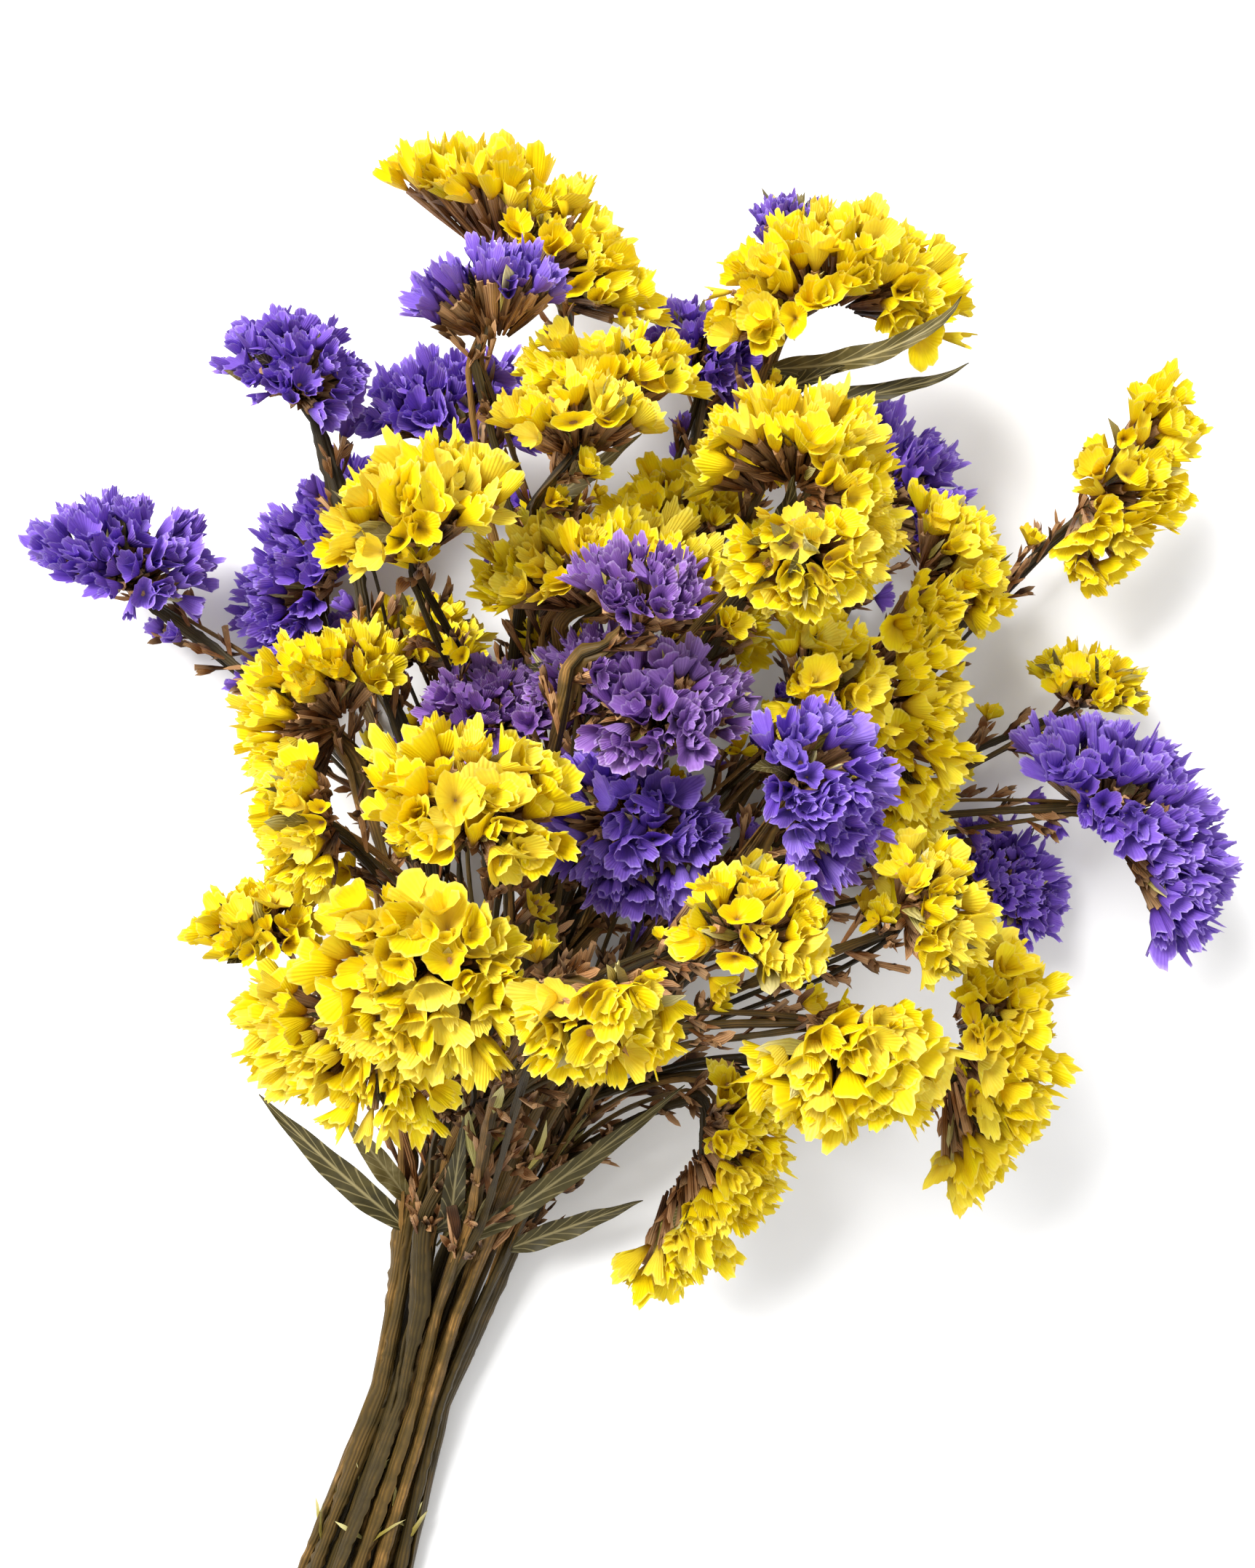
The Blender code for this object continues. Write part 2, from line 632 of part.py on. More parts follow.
def crown(name, fan, material, draw):
    """The coloured calyces of one head on their core."""
    block = flat_grid(fan.cells, CORE)
    rim = drop_rim(block, SEAM)
    close_rim(block)
    split_in_strips(block, rim, fan.cells)
    pull_ribs(rim, fan.cells)
    raise_calyces(block, draw)
    bent(block, fan, SEAT_GAP)
    return add_object(name, block, material)


def tubes(name, fan, material):
    """The brown tubes under one head, drawn together at the rachis."""
    block = flat_grid(fan.cells, SEAM)
    bmesh.ops.dissolve_faces(block, faces=block.faces[:], use_verts=False)
    rim = block.verts[:]
    foot = drop_rim(block, FOOT)
    split_in_strips(block, rim, fan.cells)
    pull_ribs(rim, fan.cells)
    for vert in foot:
        vert.co.x = round(vert.co.x * FOOT_SNAP)
        vert.co.y = math.copysign(1, vert.co.y - MIDDLE_LINE)
    bmesh.ops.remove_doubles(block, verts=foot, dist=0.0001)
    close_rim(block)
    bent(block, fan)
    return add_object(name, block, material)


def rod(name, points, radii, material):
    """A stem as a round curve with closed ends, made a mesh with its caps welded."""
    curve = bpy.data.curves.new(name, "CURVE")
    curve.dimensions = "3D"
    curve.bevel_depth = 1.0
    curve.bevel_resolution = 0
    curve.use_fill_caps = True
    spline = curve.splines.new("POLY")
    spline.points.add(len(points) - 1)
    for point, place, radius in zip(spline.points, points, radii):
        point.co = (*place, 1)
        point.radius = radius
    guide = bpy.data.objects.new(name, curve)
    PARTS.objects.link(guide)
    depsgraph = bpy.context.evaluated_depsgraph_get()
    mesh = bpy.data.meshes.new_from_object(guide.evaluated_get(depsgraph))
    block = bmesh.new()
    block.from_mesh(mesh)
    bmesh.ops.remove_doubles(block, verts=block.verts, dist=0.00001)
    bmesh.ops.recalc_face_normals(block, faces=block.faces)
    bpy.data.objects.remove(guide)
    bpy.data.curves.remove(curve)
    bpy.data.meshes.remove(mesh)
    return add_object(name, block, material)


def blade(name, stem, material):
    """A leaf: a thin arched blade about its line, widest a third of the way along."""
    points = stem.points
    count = len(points)
    share = np.linspace(0, 1, count)
    turn = np.pi * (LEAF_BASE + LEAF_SPAN * share ** LEAF_POWER)
    half = stem.leaf.width * MM / 2 * np.sin(turn)
    along = unit(np.gradient(points, axis=0))
    side = unit(np.cross(along, LEAF_TILT))
    up = np.cross(side, along)
    block = bmesh.new()
    rings = []
    for i in range(count):
        lift = up[i] * half[i] * LEAF_ARCH
        left = points[i] - side[i] * half[i] + lift
        right = points[i] + side[i] * half[i] + lift
        section = [left + up[i] * LEAF_THICK, points[i] + up[i] * LEAF_THICK,
                   right + up[i] * LEAF_THICK, right, points[i], left]
        rings.append([block.verts.new(place) for place in section])
    for near, far in zip(rings, rings[1:]):
        for k in range(6):
            block.faces.new((near[k], near[(k + 1) % 6], far[(k + 1) % 6], far[k]))
    for ring in (rings[0], rings[-1]):
        for k in (0, 1):
            block.faces.new((ring[k], ring[k + 1], ring[4 - k], ring[5 - k]))
    bmesh.ops.recalc_face_normals(block, faces=block.faces)
    return add_object(name, block, material)


def join_spray(name, pieces):
    """Join a spray's pieces to its main stem by one Boolean union, and drop the loose ones."""
    main, others = pieces[0], pieces[1:]
    group = bpy.data.collections.new(name + "_pieces")
    bpy.context.scene.collection.children.link(group)
    for piece in others:
        PARTS.objects.unlink(piece)
        group.objects.link(piece)
    union = main.modifiers.new("union", "BOOLEAN")
    union.operation = "UNION"
    union.operand_type = "COLLECTION"
    union.collection = group
    union.solver = JOIN_SOLVER
    depsgraph = bpy.context.evaluated_depsgraph_get()
    mesh = bpy.data.meshes.new_from_object(main.evaluated_get(depsgraph))
    main.modifiers.clear()
    main.data = mesh
    for piece in others:
        bpy.data.objects.remove(piece)
    bpy.data.collections.remove(group)
    return main


def finish(name, colour, roughness):
    """A plain material of one colour."""
    material = bpy.data.materials.new(name)
    material.use_nodes = True
    shader = material.node_tree.nodes["Principled BSDF"]
    shader.inputs["Base Color"].default_value = (*colour, 1)
    shader.inputs["Roughness"].default_value = roughness
    shader.inputs["Metallic"].default_value = 0
    return material


def thinned(points):
    """The points that a line needs: where it strays from the straight chord, it is kept."""
    chord = points[-1] - points[0]
    share = np.clip((points - points[0]) @ chord / (chord @ chord), 0, 1)
    stray = np.linalg.norm(points - points[0] - share[:, None] * chord, axis=1)
    worst = int(stray.argmax())
    if stray[worst] < STRAY:
        return points[[0, -1]]
    return np.vstack([thinned(points[:worst + 1])[:-1], thinned(points[worst:])])


def build():
    """Lay out, ease apart and model the whole bunch."""
    colours = {
        "yellow": finish("papery_yellow", (0.90, 0.70, 0.03), 0.75),
        "purple": finish("papery_purple", (0.12, 0.06, 0.42), 0.75),
    }
    stem_finish = finish("dried_stem", (0.10, 0.08, 0.035), 0.8)
    fans_of = [[Fan(head) for head in spray.heads] for spray in SPRAYS]
    ease_heads([fan for fans in fans_of for fan in fans])
    stems = lay_stems(SPRAYS, fans_of)
    ease_stems(stems, fans_of)
    draw = random.Random(SEED)
    for i, (spray, fans) in enumerate(zip(SPRAYS, fans_of)):
        pieces = []
        for k, stem in enumerate(stem for stem in stems if stem.spray == i):
            name = f"{spray.name}_stem_{k}"
            if stem.leaf:
                pieces.append(blade(name, stem, stem_finish))
                continue
            line = thinned(stem.points)
            radii = stem.radius * np.linspace(1, TIP_SHARE, len(line))
            pieces.append(rod(name, line, radii, stem_finish))
        for head, fan in zip(spray.heads, fans):
            pieces.append(tubes(head.name + "_tubes", fan, stem_finish))
            crown(f"{spray.name}_{head.name}", fan, colours[spray.colour], draw)
        joined = join_spray(spray.name, pieces)
        joined.name = spray.name + "_stems"


for old in list(bpy.data.objects):
    bpy.data.objects.remove(old)
PARTS = bpy.data.collections.new(NAME)
bpy.context.scene.collection.children.link(PARTS)
build()
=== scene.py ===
import json
import math
from dataclasses import dataclass

import bpy
import numpy as np
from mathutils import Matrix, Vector

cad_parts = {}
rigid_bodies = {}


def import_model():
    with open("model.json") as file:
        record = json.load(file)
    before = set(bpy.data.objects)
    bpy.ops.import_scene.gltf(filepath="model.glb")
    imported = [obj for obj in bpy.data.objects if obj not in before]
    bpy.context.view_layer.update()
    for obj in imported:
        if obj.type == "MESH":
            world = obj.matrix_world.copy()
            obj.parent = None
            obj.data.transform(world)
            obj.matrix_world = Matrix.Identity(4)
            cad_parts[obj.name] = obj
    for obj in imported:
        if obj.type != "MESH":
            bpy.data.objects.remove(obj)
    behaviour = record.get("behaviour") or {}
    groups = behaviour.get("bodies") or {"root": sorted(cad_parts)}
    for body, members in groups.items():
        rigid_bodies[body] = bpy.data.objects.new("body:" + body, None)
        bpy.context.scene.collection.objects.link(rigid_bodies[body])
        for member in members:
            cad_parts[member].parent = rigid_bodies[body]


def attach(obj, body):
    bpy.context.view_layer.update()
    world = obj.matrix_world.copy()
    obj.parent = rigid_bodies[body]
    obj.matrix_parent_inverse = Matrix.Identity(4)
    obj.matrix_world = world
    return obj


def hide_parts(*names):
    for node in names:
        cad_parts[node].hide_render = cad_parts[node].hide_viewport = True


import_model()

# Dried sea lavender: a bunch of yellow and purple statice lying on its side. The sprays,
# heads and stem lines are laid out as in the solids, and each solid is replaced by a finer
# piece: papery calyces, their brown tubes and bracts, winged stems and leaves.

MM = 0.001
SEED = 11

# The camera looks straight down from above the middle of the photograph.
EYE = (3.65 * MM, 53.7 * MM, 560 * MM)
LENS = 31.3
KEY_POWER = 62
FILL_POWER = 8
WORLD_STRENGTH = 0.78

# The whole layout is written from the middle of the flowers and moved by this much, so
# that the origin is the middle of the bunch's footprint.
CENTRE_SHIFT = np.array([3.65 * MM, 9.7 * MM, 0.0])

# A head is a fan of tubes about its rachis. These are shares of the fan's radius.
SEAM = 0.47
MIDDLE = 0.80
FAN_RADIUS = (26 * MM, 37 * MM)
FAN_ANGLE = (36.0, 64.0)
WIDEST = 0.57

# A long head opens less: its angle falls with each width that it is longer than SQUAT. The
# sines of its two angles stay under these, and the first is a share of what fills the head.
SQUAT = 1.4
ANGLE_FALL = 16.0
FILL_SHARE = 0.9
STEEPEST_ALONG = 0.95
STEEPEST_ACROSS = 0.92
SHEET_ROUNDING = 0.42

# Balls that fill a head while it is eased: one layer in its crown and two in its tubes.
BALL_STEP = 10 * MM
CROWN_LAYER = 0.79
CROWN_BALL = 0.25
TUBE_LAYERS = (0.08, 0.38)
TUBE_BALL_EXTRA = 2.5 * MM

# How a stem meets a head: near an end of the rachis, just inside the tubes' foot, rising as
# it comes in. It ends inside the tubes, at a share of the fan's radius.
RACHIS_END = 0.7
MEETING_HEIGHT = 0.05
ARRIVAL_RISE = 0.9
STEM_END = 0.30
STEM_COVER = 0.7

# A branch leaves its stem this share of the way up, for a head as far out as the first, and
# bows by a share of its own length.
FORK_SHARE = 0.52
FORK_RANGE = (0.12, 0.80)
BOW_SHARE = 0.42
LONGEST_ARRIVAL = 38 * MM

STEM_RADIUS = 2.7 * MM
BRANCH_RADIUS = 1.9 * MM
TIP_SHARE = 0.80
STEM_STEP = 6 * MM

# The bare stems lie in rows on each other, with these many in each row from the bottom.
# They touch at the waist, a share of the way from the grip to the cut ends, where every
# second row lies in the hollows of the row below.
ROWS = (6, 5, 3)
WAIST = 0.38
WAIST_PITCH = (5.7 * MM, 3.0 * MM)
ROW_SHIFT = (0.0, 0.0, 0.5)
GRIP = np.array([-0.071, -0.150, 0.017]) + CENTRE_SHIFT
GRIP_PITCH = (8.2 * MM, 6.8 * MM)
CUT = np.array([-0.113, -0.285, 0.0026]) + CENTRE_SHIFT
CUT_PITCH = (8.5 * MM, 5.6 * MM)
CUT_STAGGER = 7 * MM
CUT_WAVE = 2.3

# The way that counts as up where a direction across a stem or leaf is wanted.
LEAF_TILT = np.array([0.15, 0.1, 1.0])

CLEAR = 2.0 * MM
WATCH = 12 * MM
WATCH_ROUNDS = 20
HEAD_ROUNDS = 120
HEAD_EASE = np.array([0.35, 0.35, 0.70])
STEM_ROUNDS = 220
STEM_EASE = 0.6
STEM_SMOOTH = 0.35


@dataclass
class Head:
    """One flower head: its middle line, its width and the way its flowers face.

    A hanging head is carried from the first end of its line, any other from the near end.
    """

    name: str
    line: list
    width: float
    azimuth: float
    elevation: float
    hangs: bool = False


@dataclass
class Leaf:
    """One leaf: its line from root to tip, its width and the head whose branch carries it."""

    line: list
    width: float
    head: int


@dataclass
class Spray:
    """One cut stem with the heads and leaves that it carries. The first head ends it."""

    name: str
    colour: str
    heads: list
    leaves: list


# Millimetres and degrees, from the middle of the flowers. A head's azimuth is counted
# from +X towards +Y and its elevation from level.
SPRAYS = [
    Spray("west_purple", "purple", [
        Head("upper_left", [(-125, 201, 75), (-116, 195, 75)], 44, 105, 48),
        Head("far_left", [(-209, 141, 55), (-186, 135, 52)], 50, 95, 50),
        Head("left_side", [(-106, 162, 46), (-128, 139, 42), (-136, 114, 34)], 48, 145, 58),
    ], []),
    Spray("north_purple", "purple", [
        Head("top_tuft", [(56, 268, 26), (65, 269, 26)], 20, 100, 30),
        Head("brush_pair", [(-56, 207, 112), (-30, 210, 114)], 34, 95, 22),
        Head("behind_brushes", [(-89, 193, 66), (-56, 190, 64)], 50, 100, 50),
        Head("top_shade", [(18, 218, 55), (28, 210, 55)], 41, 100, 50),
    ], []),
    Spray("centre_purple", "purple", [
        Head("fans", [(0, 98, 156), (12, 96, 156)], 31, 90, 48),
        Head("shade", [(-50, 79, 116), (-37, 80, 116)], 39, 100, 50),
        Head("left_dome", [(-16, 83, 134), (-5, 87, 136)], 36, 115, 38),
        Head("middle", [(11, 67, 152), (22, 67, 152)], 46, 90, 65),
    ], []),
    Spray("front_purple", "purple", [
        Head("ruffled", [(45, 58, 158), (50, 42, 152)], 46, 20, 60),
        Head("broad", [(2, 40, 146), (14, 34, 146)], 54, 260, 75),
    ], []),
    Spray("east_purple", "purple", [
        Head("chain", [(90, 179, 52), (109, 164, 50), (120, 145, 48)], 40, 35, 48),
        Head("far_right", [(179, 52, 72), (194, 38, 74), (204, 20, 70)], 56, 35, 50),
        Head("low_right", [(140, 24, 30), (152, 10, 30)], 41, 80, 50),
    ], []),
    Spray("north_yellow", "yellow", [
        Head("arch", [(-62, 266, 74), (-32, 253, 78), (-5, 226, 82)], 41, 65, 43),
        Head("pair", [(-15, 181, 122), (10, 184, 118)], 38, 80, 43),
        Head("comb", [(-27, 167, 135), (-10, 168, 133)], 36, 95, 26),
    ], [Leaf([(-10, 126, 104), (-3, 142, 116), (4, 158, 120)], 8, 2)]),
    Spray("northeast_yellow", "yellow", [
        Head("crest", [(52, 222, 92), (76, 234, 88), (94, 228, 86)], 55, 80, 50),
        Head("pale_cups", [(40, 156, 130), (55, 160, 130)], 41, 88, 23),
    ], [
        Leaf([(79, 177, 74), (95, 190, 80), (107, 209, 84)], 9, 0),
        Leaf([(84, 162, 74), (102, 176, 80), (118, 192, 84)], 9, 0),
        Leaf([(37, 185, 76), (56, 192, 82), (76, 190, 84)], 9, 0),
    ]),
    Spray("middle_yellow", "yellow", [
        Head("curl", [(56, 145, 138), (66, 140, 138), (71, 125, 132)], 38, 35, 48),
        Head("open_cup", [(44, 102, 166), (52, 99, 166)], 36, 280, 65),
        Head("cushion", [(66, 93, 143), (69, 78, 141)], 43, 20, 65),
    ], [Leaf([(36, 110, 128), (41, 126, 140), (51, 139, 143)], 9, 0)]),
    Spray("east_yellow", "yellow", [
        Head("far_spike", [(207, 191, 56), (195, 168, 55), (182, 143, 54)], 43, 30, 50),
        Head("side", [(117, 138, 82), (128, 118, 78)], 38, 30, 38),
        Head("low_spike", [(173, 86, 42), (185, 85, 42)], 36, 85, 45),
    ], []),
    Spray("centre_yellow", "yellow", [
        Head("shaded", [(8, 150, 74), (30, 151, 72)], 43, 95, 50),
        Head("slope", [(-67, 123, 142), (-47, 131, 140)], 46, 105, 48),
        Head("ridge", [(-37, 117, 135), (-8, 121, 132), (20, 108, 126)], 36, 85, 48),
    ], []),
    Spray("left_yellow", "yellow", [
        Head("hook", [(-110, 87, 78), (-124, 77, 76), (-127, 58, 70)], 36, 150, 43),
        Head("backing", [(-92, 105, 44), (-74, 104, 44)], 38, 95, 50),
        Head("sprig", [(-152, -8, 58), (-137, -3, 58)], 41, 130, 43),
    ], [
        Leaf([(-75, -139, 25), (-107, -115, 40), (-139, -73, 46)], 11, 0),
        Leaf([(-88, -122, 35), (-98, -100, 48), (-106, -76, 58)], 9, 0),
    ]),
    Spray("front_left_yellow", "yellow", [
        Head("upper_dome", [(-64, 42, 168), (-42, 34, 172)], 50, 80, 70),
        Head("shoulder", [(-96, 40, 158), (-92, 22, 160)], 34, 170, 48),
        Head("great_dome", [(-69, -12, 168), (-57, -17, 168)], 62, 255, 70),
        Head("lower_lip", [(-79, -48, 146), (-96, -42, 142), (-113, -32, 134)], 40, 220, 48),
    ], [Leaf([(-60, -140, 42), (-58, -105, 60), (-57, -74, 74)], 9, 0)]),
    Spray("front_yellow", "yellow", [
        Head("lip", [(-8, -22, 180), (2, -19, 180)], 43, 275, 50),
        Head("wing", [(37, 8, 174), (46, 5, 174)], 40, 40, 55),
        Head("bell", [(70, -36, 163), (82, -35, 161)], 54, 310, 50),
    ], [Leaf([(-35, -134, 38), (-2, -90, 56), (24, -66, 70)], 9, 0)]),
    Spray("right_yellow", "yellow", [
        Head("column", [(95, 105, 112), (96, 70, 104), (93, 26, 88)], 41, 5, 50),
        Head("round", [(92, 10, 158), (95, -4, 156)], 38, 5, 43),
        Head("hanging", [(130, -30, 110), (132, -52, 104), (126, -82, 94)], 44, 350, 50),
        Head("tail", [(43, -78, 88), (38, -102, 80), (17, -134, 66)], 34, 320, 50, True),
    ], [Leaf([(-42, -142, 30), (-14, -124, 36), (6, -116, 36)], 9, 0)]),
]


def unit(vectors):
    """Vectors divided by their lengths, row by row."""
    return vectors / np.linalg.norm(vectors, axis=-1, keepdims=True)


def bend(line, share):
    """Point and slope at each share of a line: the parabola through its three points."""
    first, last = np.array(line[0], float), np.array(line[-1], float)
    middle = np.array(line[1], float) if len(line) == 3 else (first + last) / 2
    t = np.asarray(share, float)[..., None]
    point = first * (2 * t - 1) * (t - 1) + middle * 4 * t * (1 - t) + last * t * (2 * t - 1)
    slope = first * (4 * t - 3) + middle * (4 - 8 * t) + last * (4 * t - 1)
    return point, slope


class Fan:
    """A head's shape: places in the fan are given by two sheet parameters and a height.

    x runs from -1 to 1 along the head and y from -1 to 1 across it. The height is the
    share of the fan's radius, measured outwards from the rachis.
    """

    def __init__(self, head):
        self.line = np.array(head.line, float) * MM + CENTRE_SHIFT
        self.width = head.width * MM
        run = np.linalg.norm(np.diff(self.line, axis=0), axis=1).sum()
        half = self.half = (run + self.width) / 2
        slim = 2 * half / self.width
        self.radius = min(max(half, FAN_RADIUS[0]), FAN_RADIUS[1])
        self.radius = max(self.radius, WIDEST * self.width)
        narrowest, widest = FAN_ANGLE
        self.theta = math.radians(max(narrowest, widest - ANGLE_FALL * (slim - SQUAT)))
        fill = min(STEEPEST_ALONG, FILL_SHARE * half / self.radius)
        self.theta = min(self.theta, math.asin(fill))
        self.phi = math.asin(min(STEEPEST_ACROSS, self.width / 2 / self.radius))
        self.squeeze = 2 * (half - self.radius * math.sin(self.theta)) / run
        azimuth, elevation = math.radians(head.azimuth), math.radians(head.elevation)
        self.facing = np.array([
            math.cos(elevation) * math.cos(azimuth),
            math.cos(elevation) * math.sin(azimuth),
            math.sin(elevation),
        ])

    def shifted(self, push):
        """Move the whole head."""
        self.line = self.line + push

    def lowest(self):
        """Height of the lowest part of the crown's rim above the surface."""
        x, y = np.meshgrid([-1, -0.5, 0, 0.5, 1], [-1, 0, 1])
        return self.place(x, y, np.ones(x.shape))[..., 2].min()

    def rachis(self, x):
        """Places along the rachis, with the directions along, out of and across the fan."""
        share = (np.asarray(x, float) + 1) / 2
        point, slope = bend(self.line, share)
        centre, _ = bend(self.line, 0.5)
        along = unit(slope)
        out = unit(self.facing - along * (along @ self.facing)[..., None])
        place = centre + self.squeeze * (point - centre) - self.facing * MIDDLE * self.radius
        return place, along, out, np.cross(out, along)

    def place(self, x, y, height):
        """Point of the fan: the sheet is rounded to a disc, then each height goes out from
        the rachis in a direction turned by theta along the head and by phi across it."""
        x, y = np.asarray(x, float), np.asarray(y, float)
        round_x = x * np.sqrt(1 - SHEET_ROUNDING * y ** 2)
        round_y = y * np.sqrt(1 - SHEET_ROUNDING * x ** 2)
        root, along, out, over = self.rachis(round_x)
        turn = (self.theta * round_x)[..., None]
        lean = (self.phi * round_y)[..., None]
        ray = np.cos(lean) * (np.cos(turn) * out + np.sin(turn) * along) + np.sin(lean) * over
        return root + ray * (self.radius * np.asarray(height, float))[..., None]

    def balls(self):
        """Balls that fill the head: middles, radii, and which of them fill its tubes."""
        count = max(4, math.ceil(2 * self.half / BALL_STEP))
        x, y = np.meshgrid(np.linspace(-0.95, 0.95, count), [-0.75, 0, 0.75])
        crown = self.place(x.ravel(), y.ravel(), np.full(x.size, CROWN_LAYER))
        x = np.tile(np.linspace(-0.8, 0.8, count), 2)
        height = np.repeat(TUBE_LAYERS, count)
        tubes = self.place(x, 0 * x, height)
        slim = self.radius * height * math.sin(self.phi) + TUBE_BALL_EXTRA
        radii = np.r_[np.full(len(crown), CROWN_BALL * self.radius), slim]
        return np.vstack([crown, tubes]), radii, np.arange(len(radii)) >= len(crown)


def near_pairs(spots, reach, foreign):
    """Index pairs of the foreign spots that are near enough to be watched for a while."""
    square = (spots ** 2).sum(axis=1)
    distance2 = square[:, None] + square[None] - 2 * spots @ spots.T
    limit = reach[:, None] + reach[None] + CLEAR + WATCH
    return np.nonzero((distance2 < limit ** 2) & foreign)


def push_apart(spots, reach, pairs):
    """How far each spot moves to get clear of its pairs, summed, and how many it touches."""
    one, other = pairs
    offset = spots[one] - spots[other]
    distance = np.maximum(np.linalg.norm(offset, axis=1), 1e-6)
    depth = np.clip(reach[one] + reach[other] + CLEAR - distance, 0, None)
    push = offset * (depth / distance)[:, None]
    count = len(spots)
    total = np.column_stack([np.bincount(one, push[:, k], count) for k in range(3)])
    return total, np.bincount(one, depth > 0, count)


def ease_heads(fans):
    """Move heads that run into each other apart, mostly up or down, a little each round."""
    packs = [fan.balls() for fan in fans]
    spots = np.vstack([pack[0] for pack in packs])
    reach = np.concatenate([pack[1] for pack in packs])
    owner = np.repeat(np.arange(len(fans)), [len(pack[1]) for pack in packs])
    foreign = owner[:, None] != owner[None]
    for turn in range(HEAD_ROUNDS):
        if turn % WATCH_ROUNDS == 0:
            pairs = near_pairs(spots, reach, foreign)
        push, hits = push_apart(spots, reach, pairs)
        for i, fan in enumerate(fans):
            mine = owner == i
            step = push[mine].sum(axis=0) / max(1, hits[mine].sum()) * HEAD_EASE
            step[2] = max(step[2], -fan.lowest())
            fan.shifted(step)
            spots[mine] += step


class Stem:
    """A line of points from one fixed end to another, which may be pushed aside between."""

    def __init__(self, points, radius, spray, fixed, parent=None, leaf=None):
        self.points = points
        self.radius = radius
        self.spray = spray
        self.fixed = fixed
        self.parent = parent
        self.leaf = leaf


def even_steps(points, step):
    """The same line with points a step apart."""
    points = np.asarray(points, float)
    run = np.r_[0, np.cumsum(np.linalg.norm(np.diff(points, axis=0), axis=1))]
    count = max(4, int(math.ceil(run[-1] / step)) + 1)
    spots = np.linspace(0, run[-1], count)
    return np.column_stack([np.interp(spots, run, points[:, k]) for k in range(3)])


def bow(start, start_pull, end, end_pull):
    """Cubic curve between two points, leaving and arriving along the two pulls."""
    t = np.linspace(0, 1, 40)[:, None]
    near, far = start + start_pull, end - end_pull
    return (start * (1 - t) ** 3 + near * 3 * t * (1 - t) ** 2
            + far * 3 * t ** 2 * (1 - t) + end * t ** 3)


def slots():
    """Places of the stems at the cut end, the waist and the grip, row by row."""
    along = unit(GRIP - CUT)
    side = unit(np.cross(along, [0, 0, 1]))
    up = np.array([0, 0, 1.0])
    waist_middle = GRIP + (CUT - GRIP) * WAIST
    for row, count in enumerate(ROWS):
        for column in range(count):
            aside = column - (count - 1) / 2
            snug = aside + ROW_SHIFT[row]
            stagger = CUT_STAGGER * math.sin(CUT_WAVE * (column + 5 * row))
            cut = CUT + side * aside * CUT_PITCH[0] + up * row * CUT_PITCH[1]
            waist = waist_middle + side * snug * WAIST_PITCH[0] + up * row * WAIST_PITCH[1]
            grip = GRIP + side * aside * GRIP_PITCH[0] + up * row * GRIP_PITCH[1]
            yield cut + stagger * along, waist, grip


def approach(fan, start, hangs):
    """Where a stem meets a head's rachis, its way in, and its end inside the tubes."""
    sides = np.array([-RACHIS_END, RACHIS_END])
    ends = fan.place(sides, 0 * sides, MEETING_HEIGHT + 0 * sides)
    _, along, out, _ = fan.rachis(sides)
    first_is_near = np.linalg.norm(ends[0] - start) < np.linalg.norm(ends[1] - start)
    near = 0 if hangs or first_is_near else 1
    inward = along[near] * (1 if near == 0 else -1)
    arrive = unit(inward + out[near] * ARRIVAL_RISE)
    return ends[near], arrive, fan.place(0, 0, min(STEM_END, STEM_COVER * SEAM * math.cos(fan.phi)))


def branch_line(start, leave, fan, hangs):
    """A branch from its start to an end of a head's rachis and on into its tubes."""
    end, arrive, tip = approach(fan, start, hangs)
    pull = np.linalg.norm(end - start) * BOW_SHARE
    curve = bow(start, leave * pull, end, arrive * min(pull, LONGEST_ARRIVAL))
    line = even_steps(curve, STEM_STEP)
    rachis = even_steps([end, tip], STEM_STEP)
    return np.vstack([line, rachis[1:]]), len(line) - 2


def order_sprays(fans_of):
    """Match the sprays to the rows: the lowest sprays below, each row from left to right."""
    height = [min(fan.line[:, 2].mean() for fan in fans) for fans in fans_of]
    lowest_first = sorted(range(len(fans_of)), key=lambda i: height[i])
    matched, used = {}, 0
    for row, count in enumerate(ROWS):
        members = lowest_first[used:used + count]
        bearing = [math.atan2(*(fans_of[i][0].line[-1, :2] - GRIP[:2])) for i in members]
        for column, (_, i) in enumerate(sorted(zip(bearing, members))):
            matched[i] = used + column
        used += count
    return matched


